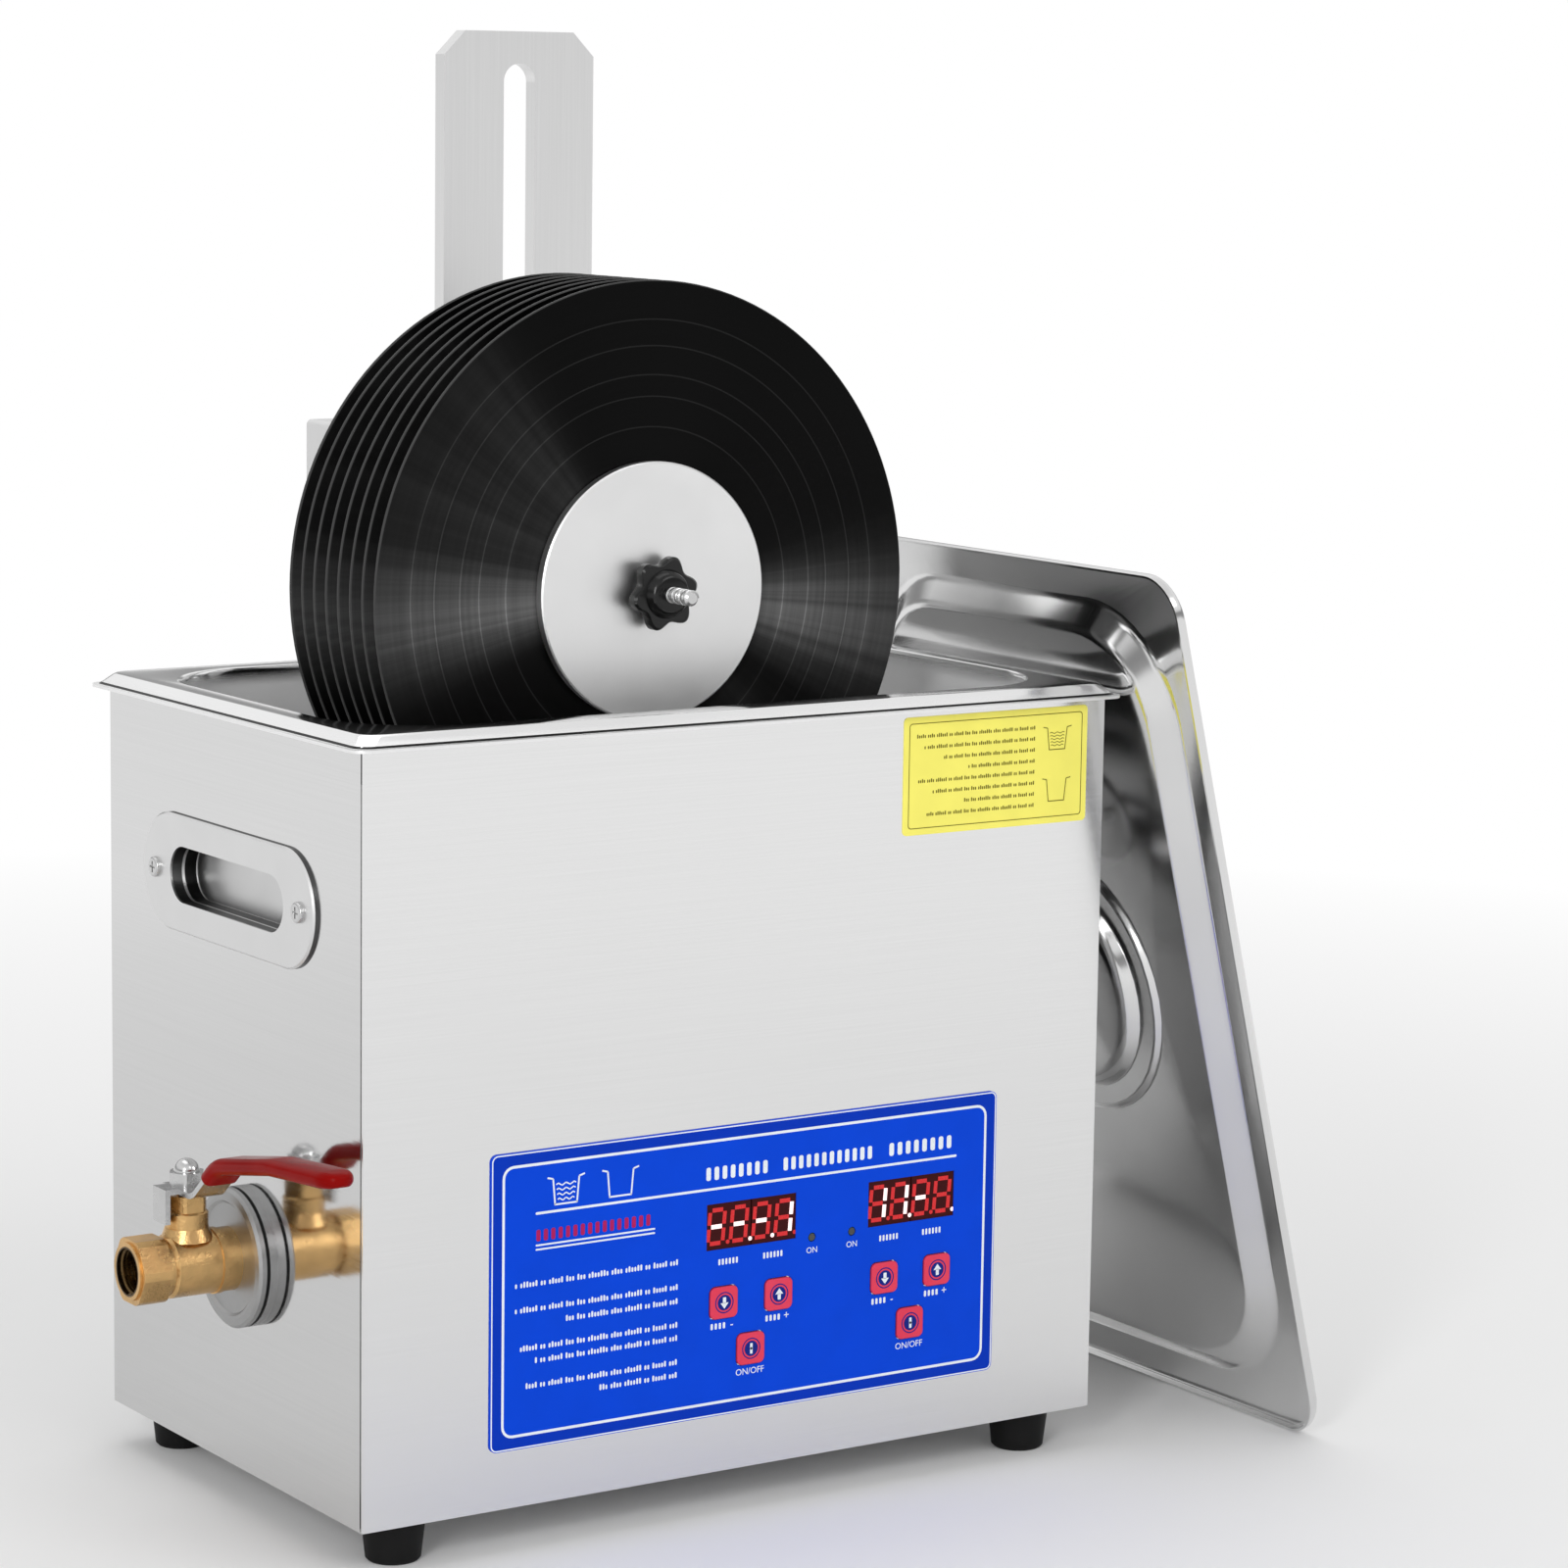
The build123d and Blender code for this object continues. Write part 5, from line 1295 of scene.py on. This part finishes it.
def make_threads():
    """Threads on the clamp's stud, in the drain's outlet and on the ends of the height studs."""
    threads = thread_tree()
    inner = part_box("spindle_rod")[0][1] + CLAMP_THREAD_FROM * MM
    sizes = thread_sizes(CLAMP_THREAD, "plated_steel", (QUARTER, 0, 0), (SPINDLE[0], inner, SPINDLE[2]))
    threads.grow("clamp_stud_thread", "spindle", "plated_steel", sizes)
    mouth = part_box("valve_body")[0][0] + OUTLET_THREAD_FROM * MM
    sizes = thread_sizes(OUTLET_THREAD, "brass", (0, QUARTER, 0), (mouth, VALVE[1], VALVE[2]))
    threads.grow("outlet_thread", "machine", "brass", sizes)
    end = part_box("motor_box_back")[1][1] - HEIGHT_THREAD_FROM * MM
    for name in ("upper", "lower"):
        x, _, z = middle(f"height_knob_{name}")
        sizes = thread_sizes(HEIGHT_THREAD, "plated_steel", (-QUARTER, 0, 0), (x, end, z))
        threads.grow(f"height_stud_thread_{name}", "carriage", "box_steel", sizes)


def make_screws():
    """Screws that hold the rear wall and the motor box's back."""
    screws = screw_tree()
    metal = MATERIALS["plated_steel"]
    low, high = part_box("case_wrap")
    inset = REAR_SCREW_INSET * MM
    rear_places = [
        (x, high[1], z)
        for x in (low[0] + inset, high[0] - inset)
        for z in (low[2] + inset, (low[2] + high[2]) / 2, high[2] - REAR_SCREW_TOP * MM)
    ]
    points = seed_points("rear_screw_places", rear_places, (0, 1, 0))
    sizes = {"Material": metal, "Radius": REAR_SCREW_R * MM}
    screws.grow("rear_wall_screws", "machine", "plated_steel", sizes, points)
    low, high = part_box("motor_box")
    inset = BOX_SCREW_INSET * MM
    back = high[1] + BOX_BACK_T * MM
    box_places = [
        (x, back, z) for x in (low[0] + inset, high[0] - inset) for z in (low[2] + inset, high[2] - inset)
    ]
    points = seed_points("box_screw_places", box_places, (0, 1, 0))
    sizes = {"Material": metal, "Radius": BOX_SCREW_R * MM}
    screws.grow("motor_box_screws", "carriage", "plated_steel", sizes, points)


def make_fan_guard():
    """The fan's wire guard on the outside of the rear wall."""
    x, _, z = middle("fan_frame")
    wire = GUARD_WIRE_R * MM
    guard_tree().grow("fan_guard", "machine", "plated_steel", {
        "Material": MATERIALS["plated_steel"], "Rings": GUARD_RINGS, "Outer radius": GUARD_R * MM,
        "Wire radius": wire, "Turn": (QUARTER, 0, 0), "Place": (x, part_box("case_wrap")[1][1] + wire, z),
    }, smooth=True)


# ---- stage, light and camera

def seen_directly(nodes):
    """1 for what the camera sees, straight or in a mirror or through glass."""
    path = nodes.node("ShaderNodeLightPath").outputs
    seen = path["Is Camera Ray"]
    for kind in ("Is Glossy Ray", "Is Transmission Ray"):
        seen = nodes.math("MAXIMUM", seen, path[kind])
    return seen


def make_stage():
    """A sheet of pale paper that fades to white away from the object."""
    floor_mesh = bpy.data.meshes.new("floor")
    corners = [(x * FLOOR_REACH, y * FLOOR_REACH, 0) for x, y in ((-1, -1), (1, -1), (1, 1), (-1, 1))]
    floor_mesh.from_pydata(corners, [], [(0, 1, 2, 3)])
    floor = link_object("floor", floor_mesh)
    s = Shading("floor_paper").set(Base_Color=FLOOR)
    s.set(Roughness=s.remap(s.noise(4.0), 0.85, 0.95))
    distance = s.node("ShaderNodeVectorMath", {0: s.place()}, operation="LENGTH").outputs["Value"]
    fade = s.math("MULTIPLY", s.remap(distance, 0.0, 1.0, *FLOOR_FADE), seen_directly(s))
    white = s.socket("ShaderNodeEmission")
    mix = s.socket("ShaderNodeMixShader", {0: fade, 1: s.shader.outputs[0], 2: white})
    s.fill(s.tree.nodes["Material Output"], {"Surface": mix})
    floor_mesh.materials.append(s.material)


def make_world():
    """A white backdrop round the horizon under a dimmer ceiling; plain light on the object."""
    world = bpy.data.worlds.new("studio")
    bpy.context.scene.world = world
    world.use_nodes = True
    world.node_tree.nodes.clear()
    w = Nodes(world.node_tree)
    _, _, height = w.axes(w.node("ShaderNodeTexCoord").outputs["Generated"])
    ramp = w.node("ShaderNodeValToRGB", {0: height})
    stops = ramp.color_ramp.elements
    stops[0].color = (1, 1, 1, 1)
    stops[1].color = (ZENITH, ZENITH, ZENITH, 1)
    for position, level in BACKDROP:
        stops.new(position).color = (level, level, level, 1)
    backdrop = w.socket("ShaderNodeBackground", {"Color": ramp.outputs["Color"]})
    room = w.socket("ShaderNodeBackground", {"Strength": ROOM_LIGHT})
    mix = w.socket("ShaderNodeMixShader", {0: seen_directly(w), 1: room, 2: backdrop})
    w.node("ShaderNodeOutputWorld", {"Surface": mix})


def make_lamps():
    """Three soft area lamps."""
    for name, (place, size, power) in LAMPS.items():
        data = bpy.data.lights.new(name, "AREA")
        data.shape = "RECTANGLE"
        data.size, data.size_y = size
        data.energy = power
        lamp = link_object(name, data)
        lamp.location = place
        lamp.rotation_euler = (LAMP_TARGET - Vector(place)).to_track_quat("-Z", "Y").to_euler()


def make_camera():
    """The camera stands in front, to the left, and looks slightly down."""
    data = bpy.data.cameras.new("camera")
    data.lens = CAMERA_LENS
    data.sensor_width = 36.0
    camera = link_object("camera", data)
    camera.location = CAMERA_AT
    aim = Euler((math.radians(90 - CAMERA_PITCH), 0, math.radians(-CAMERA_YAW)))
    roll = Matrix.Rotation(math.radians(CAMERA_ROLL), 4, "Z")
    camera.rotation_euler = (aim.to_matrix().to_4x4() @ roll).to_euler()
    bpy.context.scene.camera = camera


def main():
    bpy.context.scene.view_settings.view_transform = "Standard"
    dress_nodes()
    make_tank()
    make_lid_pan()
    make_lid_bar()
    make_grip()
    make_clamp_star()
    make_panel_print()
    make_indicators()
    make_digits("time_display", (DASH, DASH, DASH, ONE), (1, 2))
    make_digits("temp_display", (ONE, ONE, DASH, BLANK), (1, 3))
    make_key_symbols()
    make_yellow_plate()
    make_threads()
    make_screws()
    make_fan_guard()
    make_stage()
    make_world()
    make_lamps()
    make_camera()


main()
